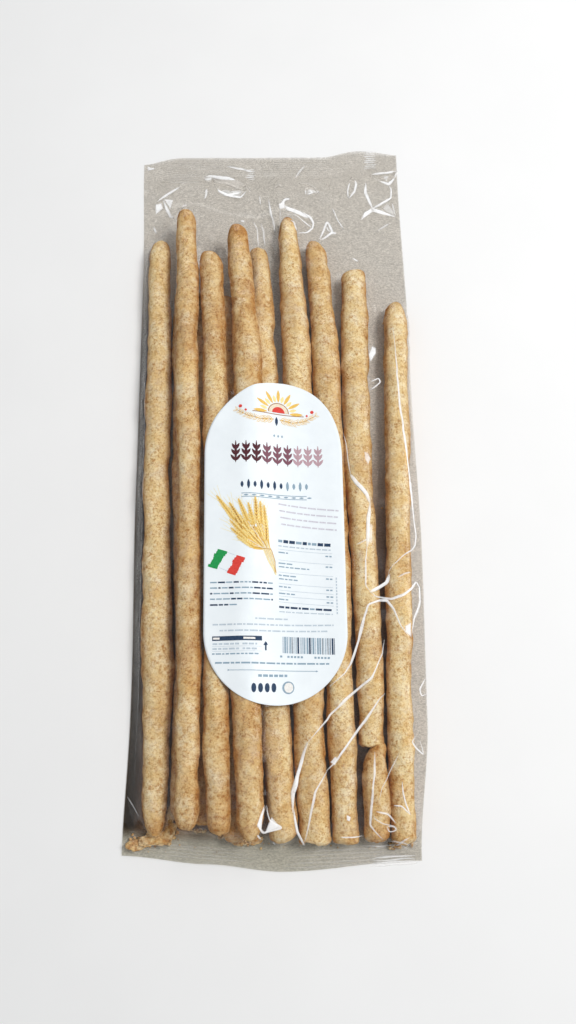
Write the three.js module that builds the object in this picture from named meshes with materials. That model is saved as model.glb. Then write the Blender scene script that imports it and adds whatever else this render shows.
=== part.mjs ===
// A clear sealed film pack of grissini breadsticks with an arched paper label, lying on its back.
// Millimetres. +X runs across the pack, +Y along it towards the end with the long empty flap, +Z up.
// The origin is the middle of the underside. The pack is one solid, the space that its film closes
// round the sticks. The film is worked out as a sheet stretched over the sticks, held flat at its rim,
// that sinks a little between them. The label is a thin sheet that bridges the ridges under it.
import * as THREE from "three";

// Film
const RIM_HEIGHT = 1.2; // the two layers of film where they meet, with their waviness
const FILM_CLEARANCE = 0.4; // between a stick and the outside of the film
const FILM_SAG = 0.1; // load on the loose film, 1/mm: how far it sinks between two sticks
const COLUMNS = 64;
const ROWS = 42;
const RELAX_STEPS = 900;

// The four edges of the pack. Each is given by a few points [place along the edge, distance from the middle].
const LEFT_EDGE = [[-182, -69.4], [-120, -68], [0, -70.2], [110, -71.1], [182, -73.4]];
const RIGHT_EDGE = [[-182, 68], [-120, 73], [-45, 73.4], [60, 70.7], [182, 67.3]];
const FOOT_EDGE = [[-70, -181.5], [-30, -185], [4, -188.3], [67, -183.6]];
const HEAD_EDGE = [[-73, 180.6], [-52, 184.5], [25, 184.5], [45, 188.3], [67, 186.4]];

// Label: a half circle at its foot, straight sides and a half ellipse at its head
const LABEL_WIDTH = 67;
const LABEL_LENGTH = 157.4;
const LABEL_HEAD_RISE = 38; // height of the half ellipse
const LABEL_LEAN = 4.6; // how far right of the label's straight axis the tip of its head comes
const LABEL_MIDDLE = { x: 0.6, y: -36.2 };
const LABEL_TURN = THREE.MathUtils.degToRad(0.9); // the whole label lies turned a little to the left
const LABEL_THICKNESS = 0.4;
const LABEL_SAG = 0.03; // load on the label, 1/mm: being stiffer it sinks less than the film
const LABEL_GAP = 0.8; // between the film and the label
const LABEL_COLUMNS = 24;
const LABEL_ROWS = 28;
const LABEL_TIP_SHARE = 0.02; // how much of each end's sweep is left out, so that the end rows have a width

// Sticks. Those of the lower layer lie on the pack's back, and the three upper ones in the grooves between
// them. Each has the height of its axis, the Y of its foot and head, and at five even stations from foot to
// head the X of its axis and its diameter.
const ROUNDED_END = 7; // length over which a stick closes at each end
const UPPER_STICKS = [
  stick(17.4, -168, 141, [-39.0, -39.4, -41.9, -44.5, -47.1], [11.1, 11.5, 11.3, 12.2, 9.9]),
  stick(17.4, -171, 116, [-23.5, -26.6, -27.6, -29.3, -34.1], [11.5, 11.5, 12.0, 12.5, 11.5]),
  stick(17.8, -173, 132, [-9.5, -13.5, -13.2, -13.7, -19.9], [12.3, 13.5, 13.5, 13.4, 10.4]),
];
const LOWER_STICKS = [
  stick(6.9, -171, 129, [-54.8, -55.4, -58.6, -60.1, -61.8], [10.1, 13.9, 12.8, 11.8, 9.8]),
  stick(5.9, -165, 100, [-43.4, -43.3, -46.5, -48.6, -50.5], [10.2, 10.2, 10.8, 11.0, 10.2]),
  stick(6.4, -168, 98, [-31.0, -32.5, -34.8, -37.0, -40.0], [11.6, 11.2, 11.8, 12.0, 11.2]),
  stick(6.6, -175, 96, [-17.0, -20.0, -20.8, -21.6, -26.5], [12.0, 12.4, 12.4, 12.4, 11.6]),
  stick(6.9, -175, 124, [5.4, -0.6, -3.2, -5.4, -9.0], [12.2, 13.8, 13.3, 12.8, 9.6]),
  stick(6.9, -176, 143, [18.9, 15.4, 13.5, 10.9, 6.1], [14.7, 14.1, 14.0, 14.4, 9.8]),
  stick(6.9, -176, 128, [33.5, 31.1, 29.2, 26.2, 21.3], [12.7, 13.2, 13.4, 13.7, 11.6]),
  stick(6.9, -129, 111, [46.0, 44.4, 42.6, 41.6, 41.5], [11.9, 12.2, 12.6, 13.7, 12.9]),
  stick(6.9, -175, -132, [46.6, 47.4, 47.4, 46.8, 46.2], [11.1, 11.1, 11.0, 10.6, 10.6]),
  stick(6.9, -176, 93, [58.9, 59.4, 61.3, 62.3, 62.6], [11.1, 12.3, 11.0, 11.4, 10.4]),
];
const STICKS = [...UPPER_STICKS, ...LOWER_STICKS];

function stick(axisHeight, foot, head, axisX, diameter) {
  return { axisHeight, foot, head, axisX, diameter };
}

// A smooth curve through points [place, value] whose places rise. It is level at each point.
function through(points) {
  return (place) => {
    let i = 0;
    while (i < points.length - 2 && place > points[i + 1][0]) i += 1;
    const [start, startValue] = points[i];
    const [end, endValue] = points[i + 1];
    return THREE.MathUtils.lerp(startValue, endValue, THREE.MathUtils.smoothstep(place, start, end));
  };
}

// The value at a share from 0 to 1 along evenly spaced stations, joined by straight lines.
function alongStations(values, share) {
  const place = THREE.MathUtils.clamp(share, 0, 1) * (values.length - 1);
  const i = Math.min(Math.floor(place), values.length - 2);
  return THREE.MathUtils.lerp(values[i], values[i + 1], place - i);
}

// Height of the top of one stick over the point x, y, or 0 where the stick isn't.
function stickTop({ axisHeight, foot, head, axisX, diameter }, x, y) {
  const share = (y - foot) / (head - foot);
  const fromEnd = Math.min(y - foot, head - y);
  if (fromEnd <= 0) return 0;
  const closing = Math.max(0, 1 - fromEnd / ROUNDED_END);
  const radius = (alongStations(diameter, share) / 2) * Math.sqrt(1 - closing * closing);
  const aside = x - alongStations(axisX, share);
  if (Math.abs(aside) >= radius) return 0;
  return axisHeight + Math.sqrt(radius * radius - aside * aside);
}

function highestStickTop(x, y) {
  return Math.max(...STICKS.map((one) => stickTop(one, x, y)));
}

// The pack seen from above as a grid of points: row 0 is the foot edge, column 0 the left edge.
function packGrid() {
  const [left, right, foot, head] = [LEFT_EDGE, RIGHT_EDGE, FOOT_EDGE, HEAD_EDGE].map(through);
  const grid = [];
  for (let row = 0; row <= ROWS; row += 1) {
    const line = [];
    for (let column = 0; column <= COLUMNS; column += 1) {
      const across = column / COLUMNS;
      const along = row / ROWS;
      const roughY = THREE.MathUtils.lerp(LEFT_EDGE[0][0], LEFT_EDGE.at(-1)[0], along);
      const x = THREE.MathUtils.lerp(left(roughY), right(roughY), across);
      line.push({ x, y: THREE.MathUtils.lerp(foot(x), head(x), along) });
    }
    grid.push(line);
  }
  return grid;
}

// Stretches a sheet over floors[row][column]: each inner point moves to the mean of its neighbours, less the
// sag, and never below its floor. Points of the rim keep the height they start with.
function stretchSheet(heights, floors, stepX, stepY, sag) {
  const weightX = 1 / stepX ** 2;
  const weightY = 1 / stepY ** 2;
  const total = 2 * (weightX + weightY);
  for (let step = 0; step < RELAX_STEPS; step += 1) {
    for (let row = 1; row < heights.length - 1; row += 1) {
      for (let column = 1; column < heights[row].length - 1; column += 1) {
        const acrossMean = weightX * (heights[row][column - 1] + heights[row][column + 1]);
        const alongMean = weightY * (heights[row - 1][column] + heights[row + 1][column]);
        const level = (acrossMean + alongMean - sag) / total;
        heights[row][column] = Math.max(level, floors[row][column]);
      }
    }
  }
}

// The places [row, column] round the rim of a grid, counter-clockwise seen from above.
function rimOf(rows, columns) {
  const rim = [];
  for (let column = 0; column < columns - 1; column += 1) rim.push([0, column]);
  for (let row = 0; row < rows - 1; row += 1) rim.push([row, columns - 1]);
  for (let column = columns - 1; column > 0; column -= 1) rim.push([rows - 1, column]);
  for (let row = rows - 1; row > 0; row -= 1) rim.push([row, 0]);
  return rim;
}

// Two triangles for each cell of a grid whose points are numbered from first, facing up or down.
function gridFaces(rows, columns, first, facesUp) {
  const faces = [];
  for (let row = 0; row < rows - 1; row += 1) {
    for (let column = 0; column < columns - 1; column += 1) {
      const near = first + row * columns + column;
      const far = near + columns;
      const cell = [near, near + 1, far + 1, near, far + 1, far];
      faces.push(...(facesUp ? cell : cell.reverse()));
    }
  }
  return faces;
}

// Two triangles for each step round a rim, from the upper ring of points down to the lower one.
function wallFaces(upper, lower) {
  return upper.flatMap((here, i) => {
    const next = (i + 1) % upper.length;
    return [here, lower[i], lower[next], here, lower[next], upper[next]];
  });
}

function geometryOf(points, faces) {
  const geometry = new THREE.BufferGeometry();
  const positions = points.flatMap(({ x, y, z }) => [x, y, z]);
  geometry.setAttribute("position", new THREE.Float32BufferAttribute(positions, 3));
  geometry.setIndex(faces);
  geometry.computeVertexNormals();
  return geometry;
}

// A closed solid from a grid of points down to a flat underside at height 0.
function solidDownToZero(top) {
  const [rows, columns] = [top.length, top[0].length];
  const rim = rimOf(rows, columns);
  const upper = rim.map(([row, column]) => row * columns + column);
  const outline = rim.map(([row, column]) => new THREE.Vector2(top[row][column].x, top[row][column].y));
  const first = rows * columns;
  const lower = rim.map((_, i) => first + i);
  const underside = THREE.ShapeUtils.triangulateShape(outline, []).flatMap(([a, b, c]) => [c, b, a]);
  const points = [...top.flat(), ...outline.map(({ x, y }) => ({ x, y, z: 0 }))];
  const faces = [
    ...gridFaces(rows, columns, 0, true),
    ...wallFaces(upper, lower),
    ...underside.map((i) => first + i),
  ];
  return geometryOf(points, faces);
}

// A closed solid from a grid of points and the same grid lowered by a thickness.
function solidSheet(top, thickness) {
  const [rows, columns] = [top.length, top[0].length];
  const first = rows * columns;
  const upper = rimOf(rows, columns).map(([row, column]) => row * columns + column);
  const points = [...top.flat(), ...top.flat().map(({ x, y, z }) => ({ x, y, z: z - thickness }))];
  const faces = [
    ...gridFaces(rows, columns, 0, true),
    ...gridFaces(rows, columns, first, false),
    ...wallFaces(upper, upper.map((i) => first + i)),
  ];
  return geometryOf(points, faces);
}

// The height over each point of the pack's grid of a film that sinks by sag between the sticks.
function filmHeights(grid, sag) {
  const floors = grid.map((line) => line.map(({ x, y }) => {
    return Math.max(highestStickTop(x, y) + FILM_CLEARANCE, RIM_HEIGHT);
  }));
  const heights = grid.map((line) => line.map(() => RIM_HEIGHT));
  const stepX = (grid[0].at(-1).x - grid[0][0].x) / COLUMNS;
  const stepY = (grid.at(-1)[0].y - grid[0][0].y) / ROWS;
  stretchSheet(heights, floors, stepX, stepY, sag);
  return heights;
}

// The height at any x, y of heights given over the pack's grid, between its four nearest points.
function heightAt(grid, heights, x, y) {
  const row = grid.findIndex((line) => line[0].y > y) - 1;
  const column = grid[row].findIndex((point) => point.x > x) - 1;
  const [near, far] = [grid[row][column], grid[row + 1][column + 1]];
  const across = (x - near.x) / (far.x - near.x);
  const along = (y - near.y) / (far.y - near.y);
  const nearHeight = THREE.MathUtils.lerp(heights[row][column], heights[row][column + 1], across);
  const farHeight = THREE.MathUtils.lerp(heights[row + 1][column], heights[row + 1][column + 1], across);
  return THREE.MathUtils.lerp(nearHeight, farHeight, along);
}

// Half the label's width at a place along its axis, measured from its middle.
function labelHalfWidth(along) {
  const fromFoot = along + LABEL_LENGTH / 2;
  const fromHead = LABEL_LENGTH / 2 - along;
  const footShare = Math.max(0, 1 - fromFoot / (LABEL_WIDTH / 2));
  const headShare = Math.max(0, 1 - fromHead / LABEL_HEAD_RISE);
  return (LABEL_WIDTH / 2) * Math.sqrt(1 - Math.max(footShare, headShare) ** 2);
}

// How far right of the label's straight axis its outline is centred, at a place along that axis.
function labelAxis(along) {
  const headShare = Math.max(0, 1 - (LABEL_LENGTH / 2 - along) / LABEL_HEAD_RISE);
  return LABEL_LEAN * headShare ** 2;
}

function packSolid(grid) {
  const heights = filmHeights(grid, FILM_SAG);
  return solidDownToZero(grid.map((line, row) => {
    return line.map(({ x, y }, column) => ({ x, y, z: heights[row][column] }));
  }));
}

// The label lies on the film and bridges the dips between its ridges.
function labelSolid(grid) {
  const heights = filmHeights(grid, LABEL_SAG);
  const rows = [];
  for (let row = 0; row <= LABEL_ROWS; row += 1) {
    const sweep = Math.PI * THREE.MathUtils.lerp(LABEL_TIP_SHARE, 1 - LABEL_TIP_SHARE, row / LABEL_ROWS);
    const along = (-LABEL_LENGTH / 2) * Math.cos(sweep);
    const line = [];
    for (let column = 0; column <= LABEL_COLUMNS; column += 1) {
      const across = labelAxis(along) + labelHalfWidth(along) * ((2 * column) / LABEL_COLUMNS - 1);
      const place = new THREE.Vector2(across, along).rotateAround(new THREE.Vector2(), LABEL_TURN);
      const { x, y } = place.add(LABEL_MIDDLE);
      line.push({ x, y, z: heightAt(grid, heights, x, y) + LABEL_GAP + LABEL_THICKNESS });
    }
    rows.push(line);
  }
  return solidSheet(rows, LABEL_THICKNESS);
}

const FILM = new THREE.MeshStandardMaterial({ color: 0xd8bd92, roughness: 0.15, metalness: 0 });
const PAPER = new THREE.MeshStandardMaterial({ color: 0xecf5fa, roughness: 0.35, metalness: 0 });

function named(name, geometry, material) {
  const mesh = new THREE.Mesh(geometry, material);
  mesh.name = name;
  return mesh;
}

const packPoints = packGrid();
const group = new THREE.Group();
group.add(named("bag", packSolid(packPoints), FILM));
group.add(named("label", labelSolid(packPoints), PAPER));

export default group;
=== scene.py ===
"""A clear film pack of long wholemeal breadsticks with an arched paper label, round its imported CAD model.

Sizes are in millimetres until a mesh is made. +X runs across the pack, +Y along it towards the head, where
the long empty flap is, and +Z up. The origin is the middle of the underside.
"""

import itertools
import math
from dataclasses import dataclass

import bmesh
import bpy
import numpy as np
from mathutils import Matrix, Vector


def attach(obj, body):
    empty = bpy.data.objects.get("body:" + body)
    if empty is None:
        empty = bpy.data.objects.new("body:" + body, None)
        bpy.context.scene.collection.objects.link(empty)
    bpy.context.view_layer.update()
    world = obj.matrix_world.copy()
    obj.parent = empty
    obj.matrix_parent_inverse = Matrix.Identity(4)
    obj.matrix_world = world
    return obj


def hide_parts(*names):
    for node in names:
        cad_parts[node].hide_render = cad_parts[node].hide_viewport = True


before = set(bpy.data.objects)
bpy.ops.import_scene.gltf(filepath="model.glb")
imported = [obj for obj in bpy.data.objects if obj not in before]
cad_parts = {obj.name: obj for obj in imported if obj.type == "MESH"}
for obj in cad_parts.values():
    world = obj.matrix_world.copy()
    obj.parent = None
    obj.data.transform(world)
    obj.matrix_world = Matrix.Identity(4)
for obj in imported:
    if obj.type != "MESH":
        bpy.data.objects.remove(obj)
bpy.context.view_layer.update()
METRES = 0.001  # one millimetre in Blender's metres
BODY = "root"

# ---- noise


def lattice_noise(points, size, seed):
    """Smooth noise from -1 to 1 at points (n, 3). Its bumps have one size, or one for each axis."""
    cells = 32
    table = np.random.default_rng(seed).uniform(-1, 1, (cells,) * 3)
    scaled = np.asarray(points, float) / size
    base = np.floor(scaled).astype(int)
    part = scaled - base
    ease = part**3 * (part * (part * 6 - 15) + 10)
    value = np.zeros(len(scaled))
    for corner in itertools.product((0, 1), repeat=3):
        weight = np.prod(np.where(corner, ease, 1 - ease), axis=1)
        i, j, k = ((base + corner) % cells).T
        value += weight * table[i, j, k]
    return value


def flat_noise(x, y, size, seed):
    """The same noise over the plane, for arrays x and y of one shape. size may be (across, along)."""
    across, along = size if isinstance(size, tuple) else (size, size)
    points = np.stack([np.ravel(x) / across, np.ravel(y) / along, np.full(np.size(x), 0.5)], axis=1)
    return lattice_noise(points, 1.0, seed).reshape(np.shape(x))


def line_noise(places, size, seed):
    """The same noise along a line."""
    return flat_noise(places, places * 0, size, seed)


def folds(x, y, size, seed):
    """Sharp-edged folds from 0 to 1 over the plane: ridges where smooth noise passes zero."""
    return (1 - np.minimum(1, 2.2 * np.abs(flat_noise(x, y, size, seed)))) ** 1.6


def smoothstep(value, start, end):
    share = np.clip((value - start) / (end - start), 0, 1)
    return share * share * (3 - 2 * share)


def smoothed(values, reach):
    """Values along a line, each a mean of those within reach places, in which the farther ones count less."""
    weights = np.hanning(2 * reach + 1)
    return np.convolve(np.pad(values, reach, "edge"), weights / weights.sum(), "valid")


def turned(x, y, angle):
    """A place turned about the origin."""
    c, s = math.cos(angle), math.sin(angle)
    return x * c - y * s, x * s + y * c


# ---- materials


class Nodes:
    """A material with a short way to add and join its nodes."""

    def __init__(self, name):
        self.material = bpy.data.materials.new(name)
        self.material.use_nodes = True
        self.tree = self.material.node_tree
        self.tree.nodes.clear()

    def add(self, kind, settings=None, **sockets):
        node = self.tree.nodes.new("ShaderNode" + kind)
        for name, value in (settings or {}).items():
            setattr(node, name, value)
        for name, value in sockets.items():
            self.put(node.inputs[name.replace("_", " ")], value)
        return node

    def put(self, socket, value):
        """Links a socket to another one, or sets its number, vector or colour."""
        if isinstance(value, bpy.types.NodeSocket):
            self.tree.links.new(value, socket)
        elif socket.type == "RGBA":
            socket.default_value = (*value, 1)
        else:
            socket.default_value = value

    def fill(self, node, *values):
        """Puts values into a node's first sockets."""
        for socket, value in zip(node.inputs, values):
            self.put(socket, value)
        return node

    def place(self, scale=(1, 1, 1)):
        """The surface point in millimetres, times scale."""
        source = self.add("TexCoord").outputs["Object"]
        stretch = [1 / METRES * s for s in scale]
        return self.add("Mapping", Vector=source, Scale=stretch).outputs["Vector"]

    def noise(self, size, detail=2.0, roughness=0.5, place=None):
        """Noise with bumps of that size in millimetres."""
        place = place or self.place()
        node = self.add("TexNoise", Vector=place, Scale=1 / size, Detail=detail, Roughness=roughness)
        return node.outputs["Fac"]

    def ramp(self, value, *stops):
        """A value turned into a colour by stops (position, colour)."""
        node = self.add("ValToRGB", Fac=value)
        line = node.color_ramp.elements
        while len(line) < len(stops):
            line.new(0.5)
        for element, (position, colour) in zip(line, stops):
            element.position = position
            element.color = (*colour, 1)
        return node.outputs["Color"]

    def window(self, value, start, end, low=0.0, high=1.0):
        """A value eased from low at start to high at end."""
        ease = {"interpolation_type": "SMOOTHSTEP"}
        node = self.add("MapRange", ease, Value=value, From_Min=start, From_Max=end, To_Min=low, To_Max=high)
        return node.outputs["Result"]

    def flecks(self, cell, radius, share):
        """Small ragged spots of that radius, one in a share of the cells of that size, all in millimetres."""
        node = self.add("TexVoronoi", Vector=self.place(), Scale=1 / cell)
        uneven = self.window(self.noise(0.5), 0.3, 0.7, -0.09, 0.09)
        ragged = self.math("ADD", node.outputs["Distance"], uneven)
        spot = self.window(ragged, radius / cell, 0.5 * radius / cell)
        chance = self.add("SeparateColor", Color=node.outputs["Color"]).outputs["Red"]
        return self.math("MULTIPLY", spot, self.window(chance, 1 - share, 1.02 - share))

    def math(self, operation, a, b):
        return self.fill(self.add("Math", {"operation": operation}), a, b).outputs["Value"]

    def blend(self, share, a, b, how="MIX"):
        """Two colours mixed by a share."""
        settings = {"data_type": "RGBA", "blend_type": how}
        return self.add("Mix", settings, Factor=share, A=a, B=b).outputs["Result"]

    def mix(self, share, first, second):
        """Two shaders mixed by a share."""
        return self.fill(self.add("MixShader"), share, first.outputs[0], second.outputs[0])

    def attribute(self, name):
        return self.add("Attribute", {"attribute_name": name}).outputs["Fac"]

    def bump(self, height, depth):
        """A normal from a height whose 0 to 1 is depth millimetres."""
        return self.add("Bump", Height=height, Distance=depth * METRES).outputs["Normal"]

    def finish(self, shader):
        self.add("OutputMaterial", Surface=shader.outputs[0])
        return self.material


# The crust's mottling: three stops of a ramp
CRUST_TANS = ((0.30, (0.81, 0.578, 0.260)), (0.50, (0.935, 0.750, 0.418)), (0.70, (0.995, 0.890, 0.640)))
CRUST_GOLD = (0.82, 0.545, 0.215)
# Its speckle: size in mm, the noise above which it shows, its brown and its strength
SPECKLE = (
    (3.2, 0.53, (0.68, 0.385, 0.120), 0.58),
    (1.5, 0.495, (0.51, 0.255, 0.067), 0.86),
    (0.8, 0.50, (0.48, 0.225, 0.052), 0.68),
)
# Its flecks of bran: cell and radius in mm, how many cells have one, and their strength
BRAN_FLECKS = ((2.6, 0.44, 0.30, 0.50), (1.3, 0.30, 0.40, 0.36))
BRAN_BROWN = (0.40, 0.155, 0.028)
FLOUR_DUST = ((10.0, 0.45), (3.4, 0.40))  # size in mm and strength
FLOUR_PALE = (0.98, 0.89, 0.69)
TOAST_AND_SHADE_BROWN = (0.62, 0.41, 0.22)  # multiplies the other colours: real toasting, and painted shade along the sides of the sticks
MATT = 0.25  # specular level of bread and ink


def crust_material():
    """Baked wholemeal crust: golden tan with brown mottling, bran flecks and a little flour.

    It is browner where its attribute for toast and shade is high: real toasting, and painted shade along the
    sides of the sticks and over the hidden ones.
    """
    n = Nodes("wholemeal_crust")
    colour = n.ramp(n.noise(6.5, 5.0, 0.62), *CRUST_TANS)
    golden = n.window(n.noise(14.0, 2.0), 0.45, 0.68, 0.0, 0.60)
    colour = n.blend(golden, colour, CRUST_GOLD)
    patchy = n.window(n.noise(5.0, 3.0, 0.6), 0.30, 0.70, 0.50, 1.25)
    for size, rare, brown, strength in SPECKLE:
        speckle = n.window(n.noise(size, 5.0, 0.75), rare, rare + 0.13, 0.0, strength)
        colour = n.blend(n.math("MULTIPLY", speckle, patchy), colour, brown)
    for cell, radius, share, strength in BRAN_FLECKS:
        bran = n.math("MULTIPLY", n.flecks(cell, radius, share), strength)
        colour = n.blend(bran, colour, BRAN_BROWN)
    for size, strength in FLOUR_DUST:
        flour = n.window(n.noise(size, 4.0, 0.7), 0.53, 0.74, 0.0, strength)
        colour = n.blend(flour, colour, FLOUR_PALE)
    toast_and_shade_colour = n.blend(1.0, colour, TOAST_AND_SHADE_BROWN, "MULTIPLY")
    colour = n.blend(n.math("MULTIPLY", n.attribute("toast_and_shade"), patchy), colour, toast_and_shade_colour)

    relief = n.math("ADD", n.noise(1.1, 4.0, 0.65), n.math("MULTIPLY", n.noise(3.0, 2.0), 0.8))
    return n.finish(n.add(
        "BsdfPrincipled",
        Base_Color=colour,
        Roughness=n.window(n.noise(2.2), 0.2, 0.8, 0.68, 0.9),
        Normal=n.bump(relief, 0.5),
        Specular_IOR_Level=MATT,
    ))


FRONT_TINT = (0.965, 0.96, 0.95)
BACK_TINT = (0.80, 0.775, 0.74)  # the back sheet is greyer
FOOT_TINT = (0.73, 0.715, 0.655)  # and duller in the flap at the foot
GAP_SHADE_TINT = (0.47, 0.32, 0.20)  # painted shade: the dark brown of the shade that falls between the sticks
LEFT_RIM_SHADOW_TINT = (0.13, 0.09, 0.045)  # painted shadow: the back sheet is darkest along the left rim, where the sticks' shadow falls
SEAM_TINT = (0.992, 0.992, 0.99)
HEAD_ON_GLOSS = 0.035  # share mirrored by both faces of the film, seen straight on
EDGE_ON_GLOSS = 0.5  # and seen along it


def shaded_tint(n, tint):
    """The back sheet's tint: dark brown painted shade between the sticks, a painted shadow along the left
    rim, duller in the foot's flap.
    """
    spot = n.add("SeparateXYZ", Vector=n.place()).outputs
    # painted shade: darker and browner between the sticks
    between = n.math("MULTIPLY", n.window(spot["X"], 66, 62), n.window(spot["Y"], 40, -60))
    body_tint = n.blend(between, tint, GAP_SHADE_TINT)
    # painted shadow of the sticks along the left rim
    beside = n.math("MULTIPLY", n.window(spot["X"], -60, -66), n.window(spot["Y"], 140, 60))
    body_tint = n.blend(beside, body_tint, LEFT_RIM_SHADOW_TINT)
    flap_tint = n.blend(n.window(spot["X"], 0, 60, 0.0, 0.65), FOOT_TINT, tint)
    return n.blend(n.window(spot["Y"], -168, -176), body_tint, flap_tint)


def film_material(name, tint, milkiness=0.05, grain=(0.9, 0.035), gloss=HEAD_ON_GLOSS, shaded=False):
    """Clear film: it dims what is behind it a little, mirrors at its folds and has a faint milky haze.

    grain is the size of its fine unevenness in mm and how much that changes the tint.
    """
    n = Nodes(name)
    size, change = grain
    uneven = n.noise(size, 1.0, 0.5, n.place((0.6, 1.4, 1)))
    speckled = n.ramp(uneven, (0.35, (1 - change,) * 3), (0.65, (1 + change,) * 3))
    body_tint = shaded_tint(n, tint) if shaded else tint
    clear = n.add("BsdfTransparent", Color=n.blend(1.0, body_tint, speckled, "MULTIPLY"))
    ripples = n.math("ADD", n.noise(5.0, 3.0, 0.6), n.math("MULTIPLY", n.noise(14.0, 2.0), 1.5))
    normal = n.bump(ripples, 0.3)
    mirror = n.add("BsdfGlossy", Color=(1, 1, 1), Roughness=0.1, Normal=normal)
    haze = n.add("BsdfPrincipled", Base_Color=(0.88, 0.88, 0.88), Roughness=0.35, Normal=normal)
    cloudy = n.window(n.noise(11.0, 4.0, 0.7), 0.48, 0.76, 0.0, milkiness)
    facing = n.add("LayerWeight", Blend=0.5).outputs["Facing"]
    mirrored = n.window(n.math("POWER", facing, 3.5), 0.0, 1.0, gloss, EDGE_ON_GLOSS)
    return n.finish(n.mix(mirrored, n.mix(cloudy, clear, haze), mirror))


def fold_material():
    """The same film where it is folded sharp: white by its attribute, as real whitening and as painted
    glints.
    """
    n = Nodes("creased_film_and_glints")
    clear = n.add("BsdfTransparent", Color=FRONT_TINT)
    white = n.add("BsdfPrincipled", Base_Color=(0.985, 0.985, 0.985), Roughness=0.3, Specular_IOR_Level=0.8)
    broken = n.window(n.noise(2.4, 3.0, 0.6), 0.28, 0.55, 0.8, 1.0)
    return n.finish(n.mix(n.math("MULTIPLY", broken, n.attribute("whitening_and_glint")), clear, white))


def paper_material():
    """Coated white paper: nearly even, with the faintest cloudiness and fibre."""
    n = Nodes("label_paper")
    colour = n.ramp(n.noise(7.0, 4.0, 0.6), (0.3, (0.835, 0.885, 0.915)), (0.7, (0.875, 0.925, 0.95)))
    return n.finish(n.add(
        "BsdfPrincipled",
        Base_Color=colour,
        Roughness=n.window(n.noise(3.0, 2.0), 0.2, 0.8, 0.30, 0.42),
        Normal=n.bump(n.noise(0.8, 3.0, 0.7), 0.03),
    ))


def ink_material(name, colour):
    """Printed ink: its colour, a little uneven, and as smooth as the paper."""
    n = Nodes("ink_" + name)
    dark = tuple(c * 0.86 for c in colour)
    light = tuple(min(1.0, c * 1.10 + 0.012) for c in colour)
    uneven = n.ramp(n.noise(0.9, 3.0, 0.7), (0.3, dark), (0.7, light))
    roughness = n.window(n.noise(2.0), 0.2, 0.8, 0.34, 0.46)
    return n.finish(n.add("BsdfPrincipled", Base_Color=uneven, Roughness=roughness, Specular_IOR_Level=MATT))


def floor_material():
    n = Nodes("pale_floor")
    colour = n.ramp(n.noise(60.0, 3.0), (0.3, (0.87, 0.868, 0.862)), (0.7, (0.89, 0.888, 0.882)))
    return n.finish(n.add("BsdfPrincipled", Base_Color=colour, Roughness=0.9))


# ---- making of meshes


def add_object(name, data):
    thing = bpy.data.objects.new(name, data)
    bpy.context.scene.collection.objects.link(thing)
    return thing


def make_piece(name, points, faces, material, slot, stands_for, attributes=None):
    """A smooth mesh piece from points in millimetres. It rides on the body and stands for that CAD node."""
    mesh = bpy.data.meshes.new(name)
    mesh.from_pydata((np.asarray(points) * METRES).tolist(), [], [list(map(int, face)) for face in faces])
    mesh.validate()
    mesh.shade_smooth()
    for key, values in (attributes or {}).items():
        mesh.attributes.new(key, "FLOAT", "POINT").data.foreach_set("value", np.asarray(values, np.float32))
    mesh.materials.append(material)
    piece = add_object(name, mesh)
    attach(piece, BODY)
    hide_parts(stands_for)
    return piece


def grid_faces(rows, columns, first=0, faces_up=True):
    """The cells of a grid of points, whose rows run along +Y and columns along +X."""
    row, column = np.meshgrid(np.arange(rows - 1), np.arange(columns - 1), indexing="ij")
    near = (first + row * columns + column).ravel()
    cells = np.stack([near, near + 1, near + 1 + columns, near + columns], axis=1)
    return cells if faces_up else cells[:, ::-1]


def tube_faces(rings, around):
    """The skin of a tube of rings, each with the same number of points, that go round its way."""
    ring, place = np.meshgrid(np.arange(rings - 1), np.arange(around), indexing="ij")
    here = ring * around + place
    beside = ring * around + (place + 1) % around
    return np.stack([here, beside, beside + around, here + around], axis=-1).reshape(-1, 4)


class Joined:
    """Points, faces and one attribute of many small shapes that make one piece."""

    def __init__(self):
        self.points = []
        self.faces = []
        self.values = []
        self.count = 0

    def add(self, points, faces, values=None):
        self.points.append(points)
        self.faces += [tuple(int(i) + self.count for i in face) for face in faces]
        self.values.append(np.zeros(len(points)) if values is None else values)
        self.count += len(points)

    def make(self, name, material, slot, stands_for, attribute=None):
        attributes = {attribute: np.concatenate(self.values)} if attribute else None
        points = np.concatenate(self.points)
        return make_piece(name, points, self.faces, material, slot, stands_for, attributes)


# ---- sticks


@dataclass
class End:
    """How a stick ends. It closes over its length, and its fullness is 2 if round and 4 if blunt.

    ragged is how uneven its face is, in mm, browned is its toast, and skew shifts its right side towards the
    head, in mm.
    """

    length: float
    fullness: float
    ragged: float
    browned: float
    skew: float = 0.0


@dataclass
class Stick:
    """One breadstick. axis_x and widths are at five even stations from its foot to its head."""

    name: str
    height: float
    foot: float
    head: float
    axis_x: tuple
    widths: tuple
    foot_end: End
    head_end: End
    toast_and_shade: float


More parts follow.
